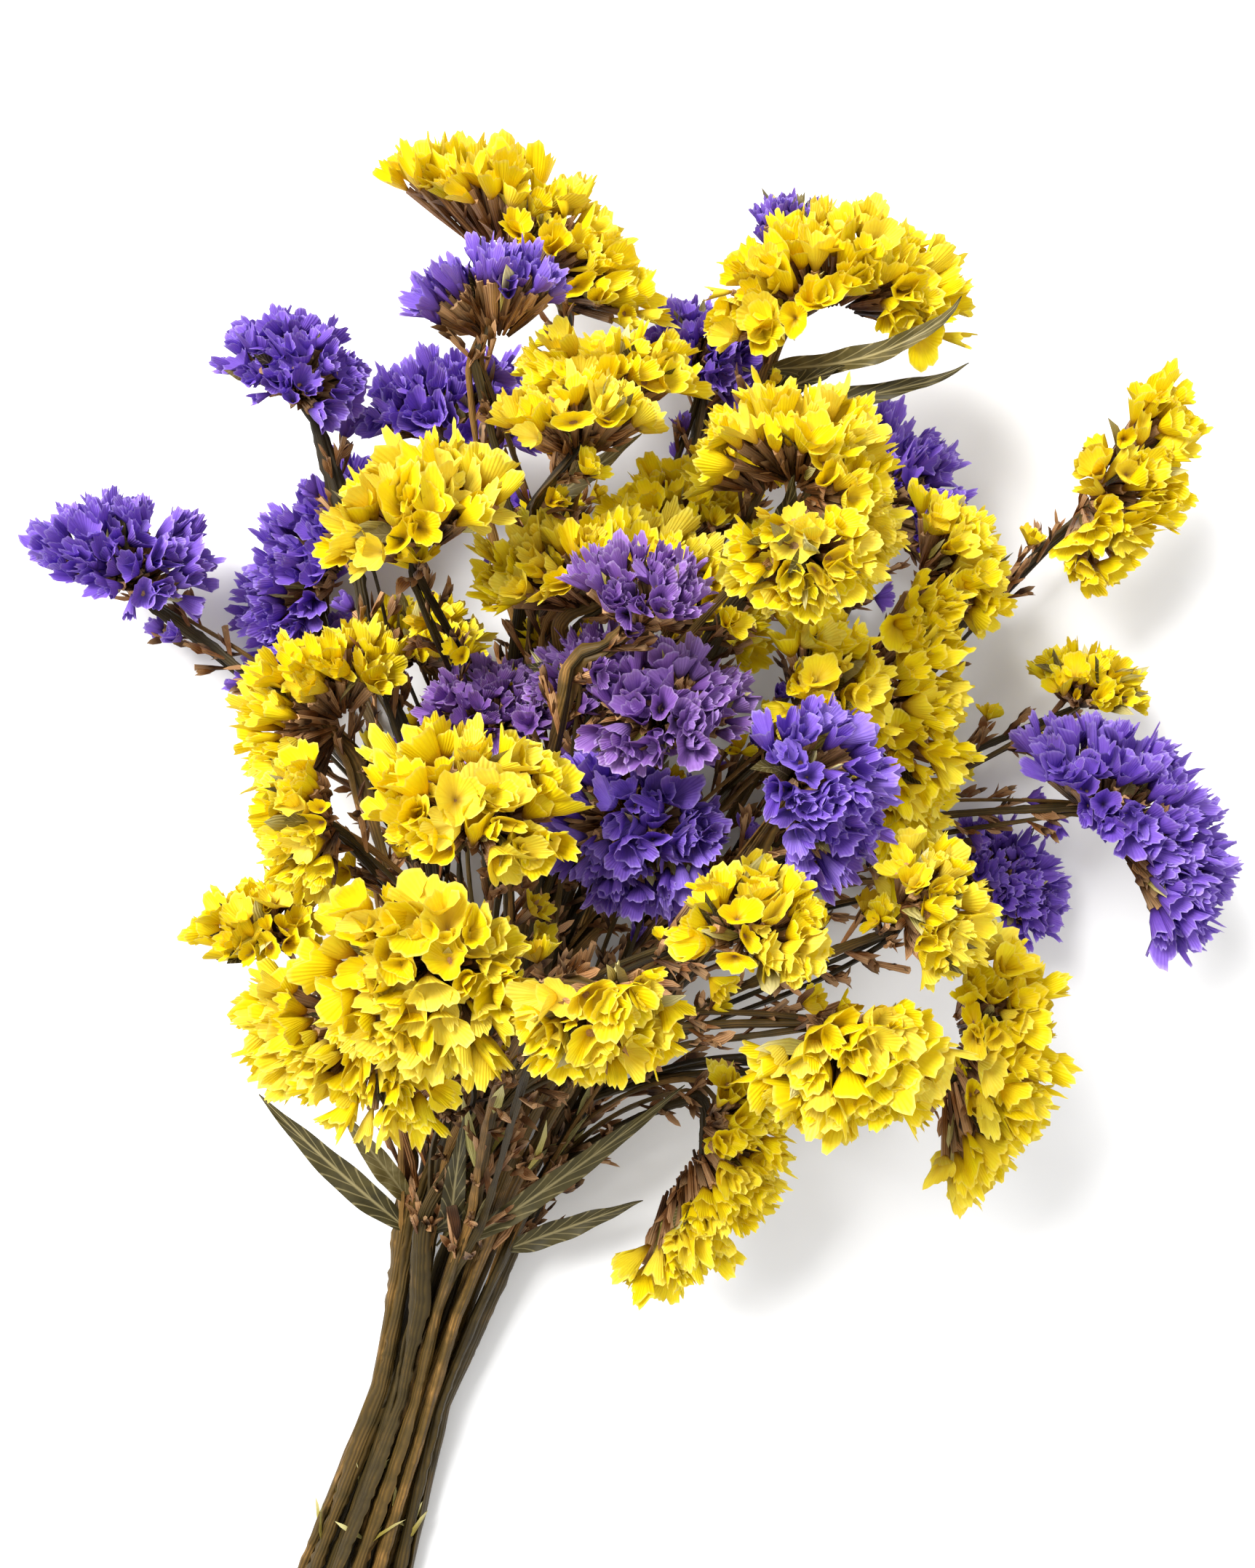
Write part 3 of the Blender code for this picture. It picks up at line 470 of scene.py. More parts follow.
def lay_stems(sprays, fans_of):
    """The main stem of each spray, then a branch for each further head and each leaf."""
    places = list(slots())
    matched = order_sprays(fans_of)
    stems = []
    for i, (spray, fans) in enumerate(zip(sprays, fans_of)):
        cut, waist, grip = places[matched[i]]
        base = np.vstack([even_steps([cut, waist], STEM_STEP), even_steps([waist, grip], STEM_STEP)[1:]])
        upper, held = branch_line(grip, unit(grip - cut), fans[0], spray.heads[0].hangs)
        main = np.vstack([base, upper[1:]])
        fixed = np.zeros(len(main), bool)
        fixed[:len(base) - 2] = True
        fixed[len(base) + held - 2:] = True
        stems.append(Stem(main, STEM_RADIUS, i, fixed))
        home = len(stems) - 1
        free = np.arange(len(base), len(base) + held - 6)
        reach_of_first = np.linalg.norm(main[-1] - grip)
        carriers = [home]
        for fan, head in zip(fans[1:], spray.heads[1:]):
            share = np.linalg.norm(fan.line.mean(axis=0) - grip) / reach_of_first
            index = free[int(np.clip(share * FORK_SHARE, *FORK_RANGE) * (len(free) - 1))]
            leave = unit(main[index + 1] - main[index - 1])
            line, held_branch = branch_line(main[index], leave, fan, head.hangs)
            pinned = np.zeros(len(line), bool)
            pinned[held_branch:] = True
            pinned[0] = True
            stems.append(Stem(line, BRANCH_RADIUS, i, pinned, (home, index)))
            carriers.append(len(stems) - 1)
        for leaf in spray.leaves:
            carrier = stems[carriers[leaf.head]]
            line = np.array(leaf.line) * MM + CENTRE_SHIFT
            root = int(np.linalg.norm(carrier.points - line[0], axis=1).argmin())
            curve, _ = bend([carrier.points[root], *line[1:]], np.linspace(0, 1, 20))
            line = even_steps(curve, STEM_STEP)
            pinned = np.zeros(len(line), bool)
            pinned[0] = True
            stems.append(Stem(line, leaf.width * MM / 2, i, pinned, (carriers[leaf.head], root), leaf))
    return stems


def ease_stems(stems, fans_of):
    """Push stems off the heads and off the stems of other sprays, and smooth their lines.

    The heads stand as fixed balls. A stem may touch the tubes of its own spray's heads.
    """
    packs = [(i, *fan.balls()) for i, fans in enumerate(fans_of) for fan in fans]
    counts = [len(stem.points) for stem in stems]
    total = sum(counts)
    spots = np.vstack([stem.points for stem in stems] + [pack[1] for pack in packs])
    reach = np.r_[np.repeat([stem.radius for stem in stems], counts),
                  np.concatenate([pack[2] for pack in packs])]
    spray = np.r_[np.repeat([stem.spray for stem in stems], counts),
                  np.concatenate([np.full(len(pack[2]), pack[0]) for pack in packs])]
    crown = np.r_[np.zeros(total, bool), np.concatenate([~pack[3] for pack in packs])]
    stem_of = np.repeat(np.arange(len(stems)), counts)
    fixed = np.concatenate([stem.fixed for stem in stems])
    is_stem = np.arange(len(spots)) < total
    foreign = (spray[:, None] != spray[None]) | crown[:, None] | crown[None]
    foreign &= is_stem[:, None]
    starts = np.r_[0, np.cumsum(counts)]
    inner = np.zeros(total, bool)
    inner[1:-1] = (stem_of[1:-1] == stem_of[:-2]) & (stem_of[1:-1] == stem_of[2:])
    for turn in range(STEM_ROUNDS):
        if turn % WATCH_ROUNDS == 0:
            pairs = near_pairs(spots, reach, foreign)
        push, hits = push_apart(spots, reach, pairs)
        move = (push / np.maximum(hits, 1)[:, None] * STEM_EASE)[:total]
        smooth = (np.roll(spots[:total], 1, 0) + np.roll(spots[:total], -1, 0)) / 2 - spots[:total]
        move[inner] += smooth[inner] * STEM_SMOOTH
        move[fixed] = 0
        spots[:total] += move
        spots[:total, 2] = np.maximum(spots[:total, 2], reach[:total])
        for k, stem in enumerate(stems):
            if stem.parent:
                home, index = stem.parent
                spots[starts[k]] = spots[starts[home] + index]
    for k, stem in enumerate(stems):
        stem.points = spots[starts[k]:starts[k + 1]].copy()


# A calyx is a papery funnel of five lobes. These are the shares of its radius at the rim
# points of one lobe, from the notch beside it. It has a ring half way up and one at the rim,
# and is closed by a pole at its foot and a pole down in its throat.
LOBE = np.array([0.85, 0.99, 0.96, 1.02, 0.98])
LOBES = 5
CALYX_RINGS = np.array([0.5, 1.0])
THROAT_DEPTH = 0.12
CALYX_FOOT = (0.54, 0.66)
CALYX_REACH = (0.86, 1.07)
CALYX_PITCH = {"yellow": 9.2 * MM, "purple": 7.4 * MM}
CALYX_MOUTH = {"yellow": (4.8 * MM, 8.9 * MM), "purple": (3.8 * MM, 6.8 * MM)}
SHUT_SHARE = 0.13
SHUT_MOUTH = 0.45
CRINKLE = {"yellow": 0.035, "purple": 0.085}

# Painted light and shade: the higher heads, in front, get a higher tone and are painted paler, and the
# lower ones duller, up to this height.
PAINTED_LIGHT_HEIGHT = 150 * MM

# Slim heads have smaller calyces: the share is a power of the head's width over a full one.
FULL_WIDTH = 50 * MM
SLIM_POWER = 0.75

# Calyces stand in tufts of a few, which lean and stand out together.
TUFT = 2.6
TUFT_LEAN = 0.24
TUFT_RISE = 0.05
CALYX_LEAN = 0.24

# The brown tube under each calyx, and the pointed bracts along it.
TUBE_AROUND = 5
TUBE_FOOT = (0.06, 0.22)
TUBE_RADII = np.array([0.6, 1.2, 1.5]) * MM
TUBE_SHARES = np.array([0.0, 0.45, 1.0])
BRACT_SHARES = np.array([0.0, 0.35, 0.75])
BRACT_HALVES = np.array([0.45, 1.0, 0.7])
BRACT_LENGTH = (5 * MM, 9.5 * MM)
BRACTS_A_TUBE = 2
COLLAR = 6
COLLAR_LENGTH = (11 * MM, 20 * MM)

# Thin shoots beside the branches, and short twigs with a tuft of bracts at their ends.
SHOOTS = 2
SHOOT_DRIFT = (5 * MM, 13 * MM)
SHOOT_RADIUS = (0.9 * MM, 1.5 * MM)
TWIG_PITCH = 19 * MM
TWIG_LENGTH = (8 * MM, 19 * MM)
TWIG_LEAN = (0.5, 1.0)
TWIG_BRACTS = 4
FLORETS = 3
FLORET_REACH = (6 * MM, 9 * MM)
FLORET_MOUTH = (2.6 * MM, 4.6 * MM)

# Strap-like remains of leaves along the lower stems, and pale scraps at the cut ends.
STRAPS = 9
STRAP_LENGTH = (16 * MM, 34 * MM)
SCRAPS = 2
SCRAP_SPOTS = (3, 14)
SCRAP_LENGTH = (10 * MM, 22 * MM)

# The purple of the middle spray is a mauve.
PAPER_OF = {"centre_purple": "mauve"}

# Slots of a spray's materials.
STEM, BRACT, LEAF, STRAW, PETAL = range(5)


class Surface:
    """The grids of one piece: rings of points that are closed by a pole at either end."""

    def __init__(self):
        self.points = []
        self.corners = []
        self.sizes = []
        self.sheet = []
        self.tones = []
        self.slots = []
        self.count = 0

    def add(self, grid, along, tone, slot, poles=None):
        """Add pieces from rings (pieces, rings, around, 3) that turn left about their axis.

        Each face corner keeps the turn round its ring and the place along the piece, which
        is given for each ring, and for the two poles too where they are given.
        """
        pieces, rings, around, _ = grid.shape
        if poles is None:
            poles = np.stack([grid[:, 0].mean(axis=1), grid[:, -1].mean(axis=1)], axis=1)
            along = np.pad(along, 1, mode="edge")
        points = np.concatenate([grid.reshape(pieces, -1, 3), poles], axis=1)
        index = np.arange(rings * around).reshape(rings, around)
        after = np.roll(index, -1, axis=1)
        foot, tip = np.full(around, rings * around), np.full(around, rings * around + 1)
        quads = np.stack([index[:-1], after[:-1], after[1:], index[1:]], axis=-1)
        corners = np.concatenate([
            quads.ravel(),
            np.stack([foot, after[0], index[0]], axis=-1).ravel(),
            np.stack([tip, index[-1], after[-1]], axis=-1).ravel()])
        turn = np.broadcast_to(np.arange(around) / around, (rings - 1, around))
        next_turn = turn + 1 / around
        low = np.broadcast_to(along[1:-2, None], turn.shape)
        high = np.broadcast_to(along[2:-1, None], turn.shape)
        quad_sheet = np.stack([turn, low, next_turn, low, next_turn, high, turn, high], axis=-1)
        left = np.arange(around) / around
        right = left + 1 / around
        middle = (left + right) / 2
        foot_at, first, last, tip_at = np.repeat(along[[0, 1, -2, -1]], around).reshape(4, around)
        foot_sheet = np.stack([middle, foot_at, right, first, left, first], axis=-1)
        tip_sheet = np.stack([middle, tip_at, left, last, right, last], axis=-1)
        sheet = np.concatenate([quad_sheet.ravel(), foot_sheet.ravel(), tip_sheet.ravel()])
        sizes = np.r_[np.full((rings - 1) * around, 4), np.full(2 * around, 3)]
        each = points.shape[1]
        starts = self.count + each * np.arange(pieces)
        self.points.append(points.reshape(-1, 3))
        self.corners.append((starts[:, None] + corners).ravel())
        self.sizes.append(np.tile(sizes, pieces))
        self.sheet.append(np.tile(sheet, pieces))
        self.tones.append(np.repeat(tone, each))
        self.slots.append(np.full(len(sizes) * pieces, slot))
        self.count += pieces * each

    def make(self, name, materials):
        """The mesh object, smooth but for its sharp rims, and kept off the surface."""
        points = np.concatenate(self.points)
        points[:, 2] = np.maximum(points[:, 2], 0.2 * MM)
        corners = np.concatenate(self.corners)
        sizes = np.concatenate(self.sizes)
        mesh = bpy.data.meshes.new(name)
        mesh.vertices.add(len(points))
        mesh.vertices.foreach_set("co", points.ravel())
        mesh.loops.add(len(corners))
        mesh.loops.foreach_set("vertex_index", corners)
        mesh.polygons.add(len(sizes))
        mesh.polygons.foreach_set("loop_start", np.r_[0, np.cumsum(sizes)[:-1]])
        mesh.update(calc_edges=True)
        mesh.polygons.foreach_set("material_index", np.concatenate(self.slots))
        mesh.uv_layers.new(name="sheet").data.foreach_set("uv", np.concatenate(self.sheet))
        tone = mesh.attributes.new("tone", "FLOAT", "POINT")
        tone.data.foreach_set("value", np.concatenate(self.tones))
        mesh.shade_smooth()
        mesh.set_sharp_from_angle(angle=math.radians(75))
        for material in materials:
            mesh.materials.append(material)
        obj = bpy.data.objects.new(name, mesh)
        bpy.context.scene.collection.objects.link(obj)
        return obj


def frames(axes, rng):
    """Two directions across each axis, turned by a random angle."""
    helper = np.where(np.abs(axes[:, 2:]) < 0.8, [[0, 0, 1.0]], [[1.0, 0, 0]])
    first = unit(np.cross(axes, helper))
    second = np.cross(axes, first)
    turn = rng.uniform(0, 2 * np.pi, (len(axes), 1))
    return (np.cos(turn) * first + np.sin(turn) * second,
            np.cos(turn) * second - np.sin(turn) * first)


def carry(place, one, two, axis, across, over, rise):
    """Grid points: each piece's place plus its offsets along its three directions."""
    return (place[:, None, None] + one[:, None, None] * across[..., None]
            + two[:, None, None] * over[..., None] + axis[:, None, None] * rise[..., None])


def reach_over(fan, x, y):
    """Length of a line on the head, near its rims."""
    places = fan.place(x, y, np.full(len(x), 0.95))
    return np.linalg.norm(np.diff(places, axis=0), axis=1).sum()


def slimness(fan):
    """Size of a head's calyces as a share of those on a full one."""
    return min(1, fan.width / FULL_WIDTH) ** SLIM_POWER


def spots_on(fan, pitch, rng):
    """Sheet parameters of a head's calyces: staggered rows with a little scatter."""
    sweep = np.linspace(-1, 1, 9)
    columns = max(3, round(reach_over(fan, sweep, 0 * sweep) / pitch))
    lines = max(2, round(reach_over(fan, 0 * sweep, sweep) / pitch))
    x, y = np.meshgrid((np.arange(columns) + 0.5) / columns, (np.arange(lines) + 0.5) / lines)
    x = x + (np.arange(lines)[:, None] % 2 - 0.5) * 0.5 / columns
    x = 2 * x.ravel() - 1 + rng.uniform(-0.7, 0.7, x.size) / columns
    y = 2 * y.ravel() - 1 + rng.uniform(-0.7, 0.7, y.size) / lines
    tuft = (np.floor((x + 1) * columns / 2 / TUFT) * 100 + np.floor((y + 1) * lines / 2 / TUFT))
    _, tuft = np.unique(tuft, return_inverse=True)
    return np.clip(x, -1, 1) * 0.96, np.clip(y, -1, 1) * 0.96, tuft


def calyx_rings(base, axes, reach, mouth, crinkle, rng):
    """Rings and poles of each calyx: a lobed funnel, pressed flat, leaned, waved and crinkled.

    The radius grows with the height. Waves of two and three round the rim spread and lift
    it, and the lobes cut it down between them.
    """
    count = len(base)
    one, two = frames(axes, rng)
    around = LOBES * len(LOBE)
    angle = 2 * np.pi * np.arange(around) / around
    v = CALYX_RINGS[None, :, None]

    def draw(low, high):
        return rng.uniform(low, high, (count, 1, 1))

    cut = np.tile(LOBE, LOBES) - 1 + rng.uniform(-0.03, 0.03, (count, 1, around))
    ruffle = crinkle * rng.uniform(-1, 1, (count, 1, around))
    wave = (draw(0, 0.24) * np.cos(2 * angle + draw(0, 6.3))
            + draw(0, 0.14) * np.cos(3 * angle + draw(0, 6.3)))
    radius = mouth[:, None, None] * v ** draw(0.75, 1.1) * (1 + v ** 2 * (wave + cut) + v * ruffle)
    across = radius * np.cos(angle) + draw(-0.3, 0.3) * reach[:, None, None] * v ** 1.5
    over = radius * np.sin(angle) * (1 - draw(0, 0.66) * v)
    lift = (draw(0.02, 0.20) * np.cos(2 * angle + draw(0, 6.3))
            + draw(0, 0.12) * np.cos(3 * angle + draw(0, 6.3)) + cut)
    rise = (v + v ** 3 * lift) * reach[:, None, None]
    grid = carry(base, one, two, axes, across, over, rise)
    poles = np.stack([base, base + axes * reach[:, None] * THROAT_DEPTH], axis=1)
    return grid, poles


def head_places(fan, colour, rng):
    """Where the calyces of a head stand: their feet, tube feet, axes and reach."""
    x, y, tuft = spots_on(fan, CALYX_PITCH[colour] * slimness(fan), rng)
    groups = tuft.max() + 1
    stand_out = rng.uniform(-TUFT_RISE, TUFT_RISE, groups)[tuft]
    base = fan.place(x, y, rng.uniform(*CALYX_FOOT, len(x)) + stand_out)
    top = fan.place(x, y, rng.uniform(*CALYX_REACH, len(x)) + stand_out)
    root = fan.place(x * 0.75, y * 0.6, rng.uniform(*TUBE_FOOT, len(x)))
    lean = rng.normal(0, TUFT_LEAN, (groups, 3))[tuft] + rng.normal(0, CALYX_LEAN, base.shape)
    return base, root, unit(unit(top - base) + lean), np.linalg.norm(top - base, axis=1)


def tube_rings(root, tip, radii, rng):
    """Rings of slender three-ribbed tubes from their roots to their tips."""
    angle = 2 * np.pi * np.arange(TUBE_AROUND) / TUBE_AROUND
    run = tip - root
    axes = unit(run)
    one, two = frames(axes, rng)
    size = rng.uniform(0.85, 1.25, (len(root), 1, 1))
    radius = radii[None, :, None] * size * (1 + 0.18 * np.cos(3 * angle))
    rise = np.linalg.norm(run, axis=1)[:, None, None] * TUBE_SHARES[None, :, None] + 0 * radius
    return carry(root, one, two, axes, radius * np.cos(angle), radius * np.sin(angle), rise)


def bract_rings(root, axes, length, width, rng):
    """Rings and poles of pointed, boat-shaped bracts: two skins that meet at their edges."""
    section = np.array([-1.0, 0.0, 1.0, 0.0])
    skin = np.array([0.0, -0.25, 0.0, 0.2])
    one, two = frames(axes, rng)
    half = width[:, None, None] * BRACT_HALVES[None, :, None]
    curl = rng.uniform(-0.25, 0.35, len(root)) * length
    over = curl[:, None, None] * BRACT_SHARES[None, :, None] ** 2 - half * (0.45 * section ** 2 + skin)
    rise = length[:, None, None] * BRACT_SHARES[None, :, None] + 0 * over
    tip = root + axes * length[:, None] + two * curl[:, None]
    return carry(root, one, two, axes, half * section, over, rise), np.stack([root, tip], axis=1)


def across_line(points):
    """Directions along a line, level across it and up from it."""
    along = unit(np.gradient(points, axis=0))
    side = unit(np.cross(along, LEAF_TILT))
    return along, side, np.cross(side, along)


def stem_rings(points, radius, step, around, rng):
    """Rings of a winged stem: a ribbed rod whose two thin wings turn, swell and fade."""
    fine = even_steps(points, step)
    _, side, up = across_line(fine)
    angle = 2 * np.pi * np.arange(around) / around
    place = np.arange(len(fine))[:, None]
    taper = np.interp(place / len(fine), [0, 1], [1, TIP_SHARE])
    wing = np.abs(np.cos(angle)) ** 8
    size = 0.5 + 0.4 * np.sin(place * 0.17 + rng.uniform(0, 6)) + rng.uniform(-0.25, 0.25, place.shape)
    knot = 0.10 * np.sin(place * 0.23 + rng.uniform(0, 6)) ** 6
    bulk = radius * taper * (0.80 + knot + 0.06 * np.cos(7 * angle) + np.clip(size, 0, 1) * wing)
    spread = angle + rng.uniform(0, 6) + place * rng.uniform(-0.04, 0.04)
    grid = (fine[:, None] + side[:, None] * (bulk * np.cos(spread))[..., None]
            + up[:, None] * (bulk * np.sin(spread))[..., None])
    return grid[None, :, ::-1], place[:, 0] * 0.1


def leaf_rings(stem, rng):
    """Rings of a lance-shaped leaf, keeled along its middle and waved at its edges."""
    fine = even_steps(stem.points, 1.6 * MM)
    share = np.linspace(0, 1, len(fine))
    half = stem.leaf.width * MM / 2 * np.sin(np.pi * (0.10 + 0.89 * share ** 0.75))[:, None]
    _, side, up = across_line(fine)
    section = np.array([-1, -0.75, -0.4, 0, 0.4, 0.75, 1, 0.75, 0.4, 0, -0.4, -0.75])
    skin = np.r_[0, np.full(5, 1.0), 0, np.full(5, -1.0)] * 0.25 * MM
    wave = np.sin(share * 21 + rng.uniform(0, 6))[:, None] * section ** 2 * 0.9 * MM
    lift = half * 0.30 * np.abs(section) + skin + wave + 0.4 * MM
    grid = fine[:, None] + side[:, None] * (half * section)[..., None] + up[:, None] * lift[..., None]
    return np.roll(grid[None, :, ::-1], 1, axis=2), share


def scattered(ways, spread, rng):
    """The directions, each leaned aside at random."""
    return unit(ways + rng.normal(0, spread, ways.shape))


def add_bracts(wood, root, ways, length, width, slot, rng):
    """Add bracts of the given lengths whose half widths are a share of the length."""
    rings, poles = bract_rings(root, ways, length, length * rng.uniform(*width, len(root)), rng)
    wood.add(rings, np.r_[0, BRACT_SHARES, 1], rng.uniform(0, 1, len(root)), slot, poles)


def shoot_line(points, rng):
    """The line of a thin shoot that leaves a branch, drifts beside it and comes back."""
    fine = even_steps(points, 6 * MM)
    _, side, up = across_line(fine)
    turn = rng.uniform(0, 2 * np.pi)
    drift = rng.uniform(*SHOOT_DRIFT) * np.sin(np.pi * np.linspace(0, 1, len(fine)))[:, None]
    line = fine + drift * (np.cos(turn) * side + np.sin(turn) * up)
    line[:, 2] = np.maximum(line[:, 2], 2 * MM)
    return line


def add_twigs(wood, points, colour, rng):
    """Short twigs along a branch with bracts near their ends, and florets of the colour."""
    fine = even_steps(points, TWIG_PITCH)[1:-1]
    count = len(fine)
    if count < 2:
        return
    along, side, up = across_line(fine)
    turn = rng.uniform(0, 2 * np.pi, (count, 1))
    outward = np.cos(turn) * side + np.sin(turn) * up
    ways = unit(along + outward * rng.uniform(*TWIG_LEAN, (count, 1)))
    tips = fine + ways * rng.uniform(*TWIG_LENGTH, (count, 1))
    wood.add(tube_rings(fine, tips, TUBE_RADII * 0.7, rng), TUBE_SHARES, rng.uniform(0, 1, count), BRACT)
    near, far = np.repeat(fine, TWIG_BRACTS, axis=0), np.repeat(tips, TWIG_BRACTS, axis=0)
    roots = near + (far - near) * rng.uniform(0.2, 0.95, (len(near), 1))
    bract_ways = scattered(np.repeat(ways, TWIG_BRACTS, axis=0), 0.25, rng)
    add_bracts(wood, roots, bract_ways, rng.uniform(*BRACT_LENGTH, len(roots)), (0.12, 0.24), BRACT, rng)
    if colour:
        roots = np.repeat(tips, FLORETS, axis=0)
        floret_ways = scattered(np.repeat(ways, FLORETS, axis=0), 0.35, rng)
        reach, mouth = rng.uniform(*FLORET_REACH, len(roots)), rng.uniform(*FLORET_MOUTH, len(roots))
        grid, poles = calyx_rings(roots, floret_ways, reach, mouth, CRINKLE[colour], rng)
        tones = rng.uniform(0, 0.5, len(roots))
        wood.add(grid, np.r_[0, CALYX_RINGS, THROAT_DEPTH], tones, PETAL, poles)


def add_straps(wood, points, rng):
    """Strap-like leaf remains that lie along the lower part of a stem."""
    line = even_steps(points, 4 * MM)
    along, side, up = across_line(line)
    spots = rng.integers(2, max(3, len(line) // 2), STRAPS)
    turn = rng.uniform(0, 2 * np.pi, (STRAPS, 1))
    outward = np.cos(turn) * side[spots] + np.sin(turn) * up[spots]
    roots = line[spots] + outward * 2.2 * MM
    ways = scattered(unit(along[spots] + 0.25 * outward), 0.12, rng)
    for i, slot in enumerate((BRACT, LEAF, STRAW)):
        length = rng.uniform(*STRAP_LENGTH, STRAPS // 3)
        add_bracts(wood, roots[i::3], ways[i::3], length, (0.05, 0.10), slot, rng)


def add_scraps(wood, points, rng):
    """Pale scraps of dry leaf near a cut end."""
    line = even_steps(points, 4 * MM)
    spots = rng.integers(*SCRAP_SPOTS, SCRAPS)
    ways = scattered(unit(line[spots + 1] - line[spots]), 0.3, rng)
    roots = line[spots] + ways * STEM_RADIUS / 2
    add_bracts(wood, roots, ways, rng.uniform(*SCRAP_LENGTH, SCRAPS), (0.05, 0.1), STRAW, rng)


def dress_head(name, fan, colour, wood, material, rng):
    """The calyces of one head as a piece, and their tubes and bracts on the spray's piece."""
    base, root, axes, reach = head_places(fan, colour, rng)
    count = len(base)
    mouth = rng.uniform(*CALYX_MOUTH[colour], count) * slimness(fan)
    mouth[rng.uniform(0, 1, count) < SHUT_SHARE] *= SHUT_MOUTH
    grid, poles = calyx_rings(base, axes, reach, mouth, CRINKLE[colour], rng)
    papers = Surface()
    # Painted light and shade: a random tone plus a share for the head's height, so that higher heads are
    # painted paler and lower heads duller.
    tones = rng.uniform(0, 0.7, count) + 0.3 * min(1, fan.line[:, 2].mean() / PAINTED_LIGHT_HEIGHT)
    papers.add(grid, np.r_[0, CALYX_RINGS, THROAT_DEPTH], tones, 0, poles)
    tubes = tube_rings(root, base + axes * 2.2 * MM, TUBE_RADII, rng)
    wood.add(tubes, TUBE_SHARES, rng.uniform(0, 1, count), BRACT)
    for _ in range(BRACTS_A_TUBE):
        start = root + (base - root) * rng.uniform(0.05, 0.85, (count, 1))
        ways = scattered(unit(base - root), 0.2, rng)
        add_bracts(wood, start, ways, rng.uniform(*BRACT_LENGTH, count), (0.16, 0.30), BRACT, rng)
    for slot in (LEAF, STRAW):
        x, y = rng.uniform(-0.9, 0.9, (2, COLLAR))
        start = fan.place(x * 0.8, y * 0.8, rng.uniform(0.3, 0.5, COLLAR))
        ways = scattered(unit(fan.place(x, y * 1.2, np.full(COLLAR, 0.9)) - start), 0.12, rng)
        add_bracts(wood, start, ways, rng.uniform(*COLLAR_LENGTH, COLLAR), (0.13, 0.22), slot, rng)
    return papers.make(name, [material])


def dress_spray(i, spray, fans, stems, materials, rng):
    """All pieces of one spray."""
    wood = Surface()
    for stem in stems:
        if stem.spray != i:
            continue
        tone = rng.uniform(0, 0.8, 1)
        if stem.leaf:
            rings, along = leaf_rings(stem, rng)
            wood.add(rings, along, tone, LEAF)
            continue
        rings, along = stem_rings(stem.points, stem.radius, 2.5 * MM, 14, rng)
        wood.add(rings, along, tone, STEM)
        above = stem.points[np.linalg.norm(stem.points - CUT, axis=1) > np.linalg.norm(GRIP - CUT)]
        if len(above) < len(stem.points):
            add_straps(wood, above, rng)
            add_scraps(wood, stem.points, rng)
        add_twigs(wood, above, None, rng)
        add_twigs(wood, above[len(above) // 2:], spray.colour, rng)
        for _ in range(SHOOTS):
            line = shoot_line(above, rng)
            rings, along = stem_rings(line, rng.uniform(*SHOOT_RADIUS), 5 * MM, 6, rng)
            wood.add(rings, along, rng.uniform(0, 1, 1), STEM)
            add_twigs(wood, line, None, rng)
    paper = materials[PAPER_OF.get(spray.name, spray.colour)]
    for head, fan in zip(spray.heads, fans):
        node = f"{spray.name}_{head.name}"
        piece = dress_head(node + "_calyces", fan, spray.colour, wood, paper, rng)
        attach(piece, "root")
        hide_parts(node)
    dry = [materials[name] for name in ("stem", "bract", "leaf", "straw")]
    piece = wood.make(spray.name + "_stalks", [*dry, paper])
    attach(piece, "root")
    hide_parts(spray.name + "_stems")


def linear(code):
    """A colour written as sRGB hex, in linear light."""
    share = [int(code[i:i + 2], 16) / 255 for i in (1, 3, 5)]
    return (*[s / 12.92 if s <= 0.04045 else ((s + 0.055) / 1.055) ** 2.4 for s in share], 1)


def add_node(tree, kind, inputs, stops=(), **settings):
    """Add a shader node with its settings, feed or set its inputs and fill its ramp."""
    made = tree.nodes.new(kind)
    for key, value in settings.items():
        setattr(made, key, value)
    for name, source in inputs.items():
        if isinstance(source, bpy.types.NodeSocket):
            tree.links.new(source, made.inputs[name])
        else:
            made.inputs[name].default_value = source
    for i, (place, code) in enumerate(stops):
        if i >= len(made.color_ramp.elements):
            made.color_ramp.elements.new(place)
        made.color_ramp.elements[i].position = place
        made.color_ramp.elements[i].color = linear(code)
    return made


def new_material(name):
    """An empty node material, its tree and its output."""
    material = bpy.data.materials.new(name)
    material.use_nodes = True
    material.node_tree.nodes.clear()
    return material, material.node_tree, material.node_tree.nodes.new("ShaderNodeOutputMaterial")


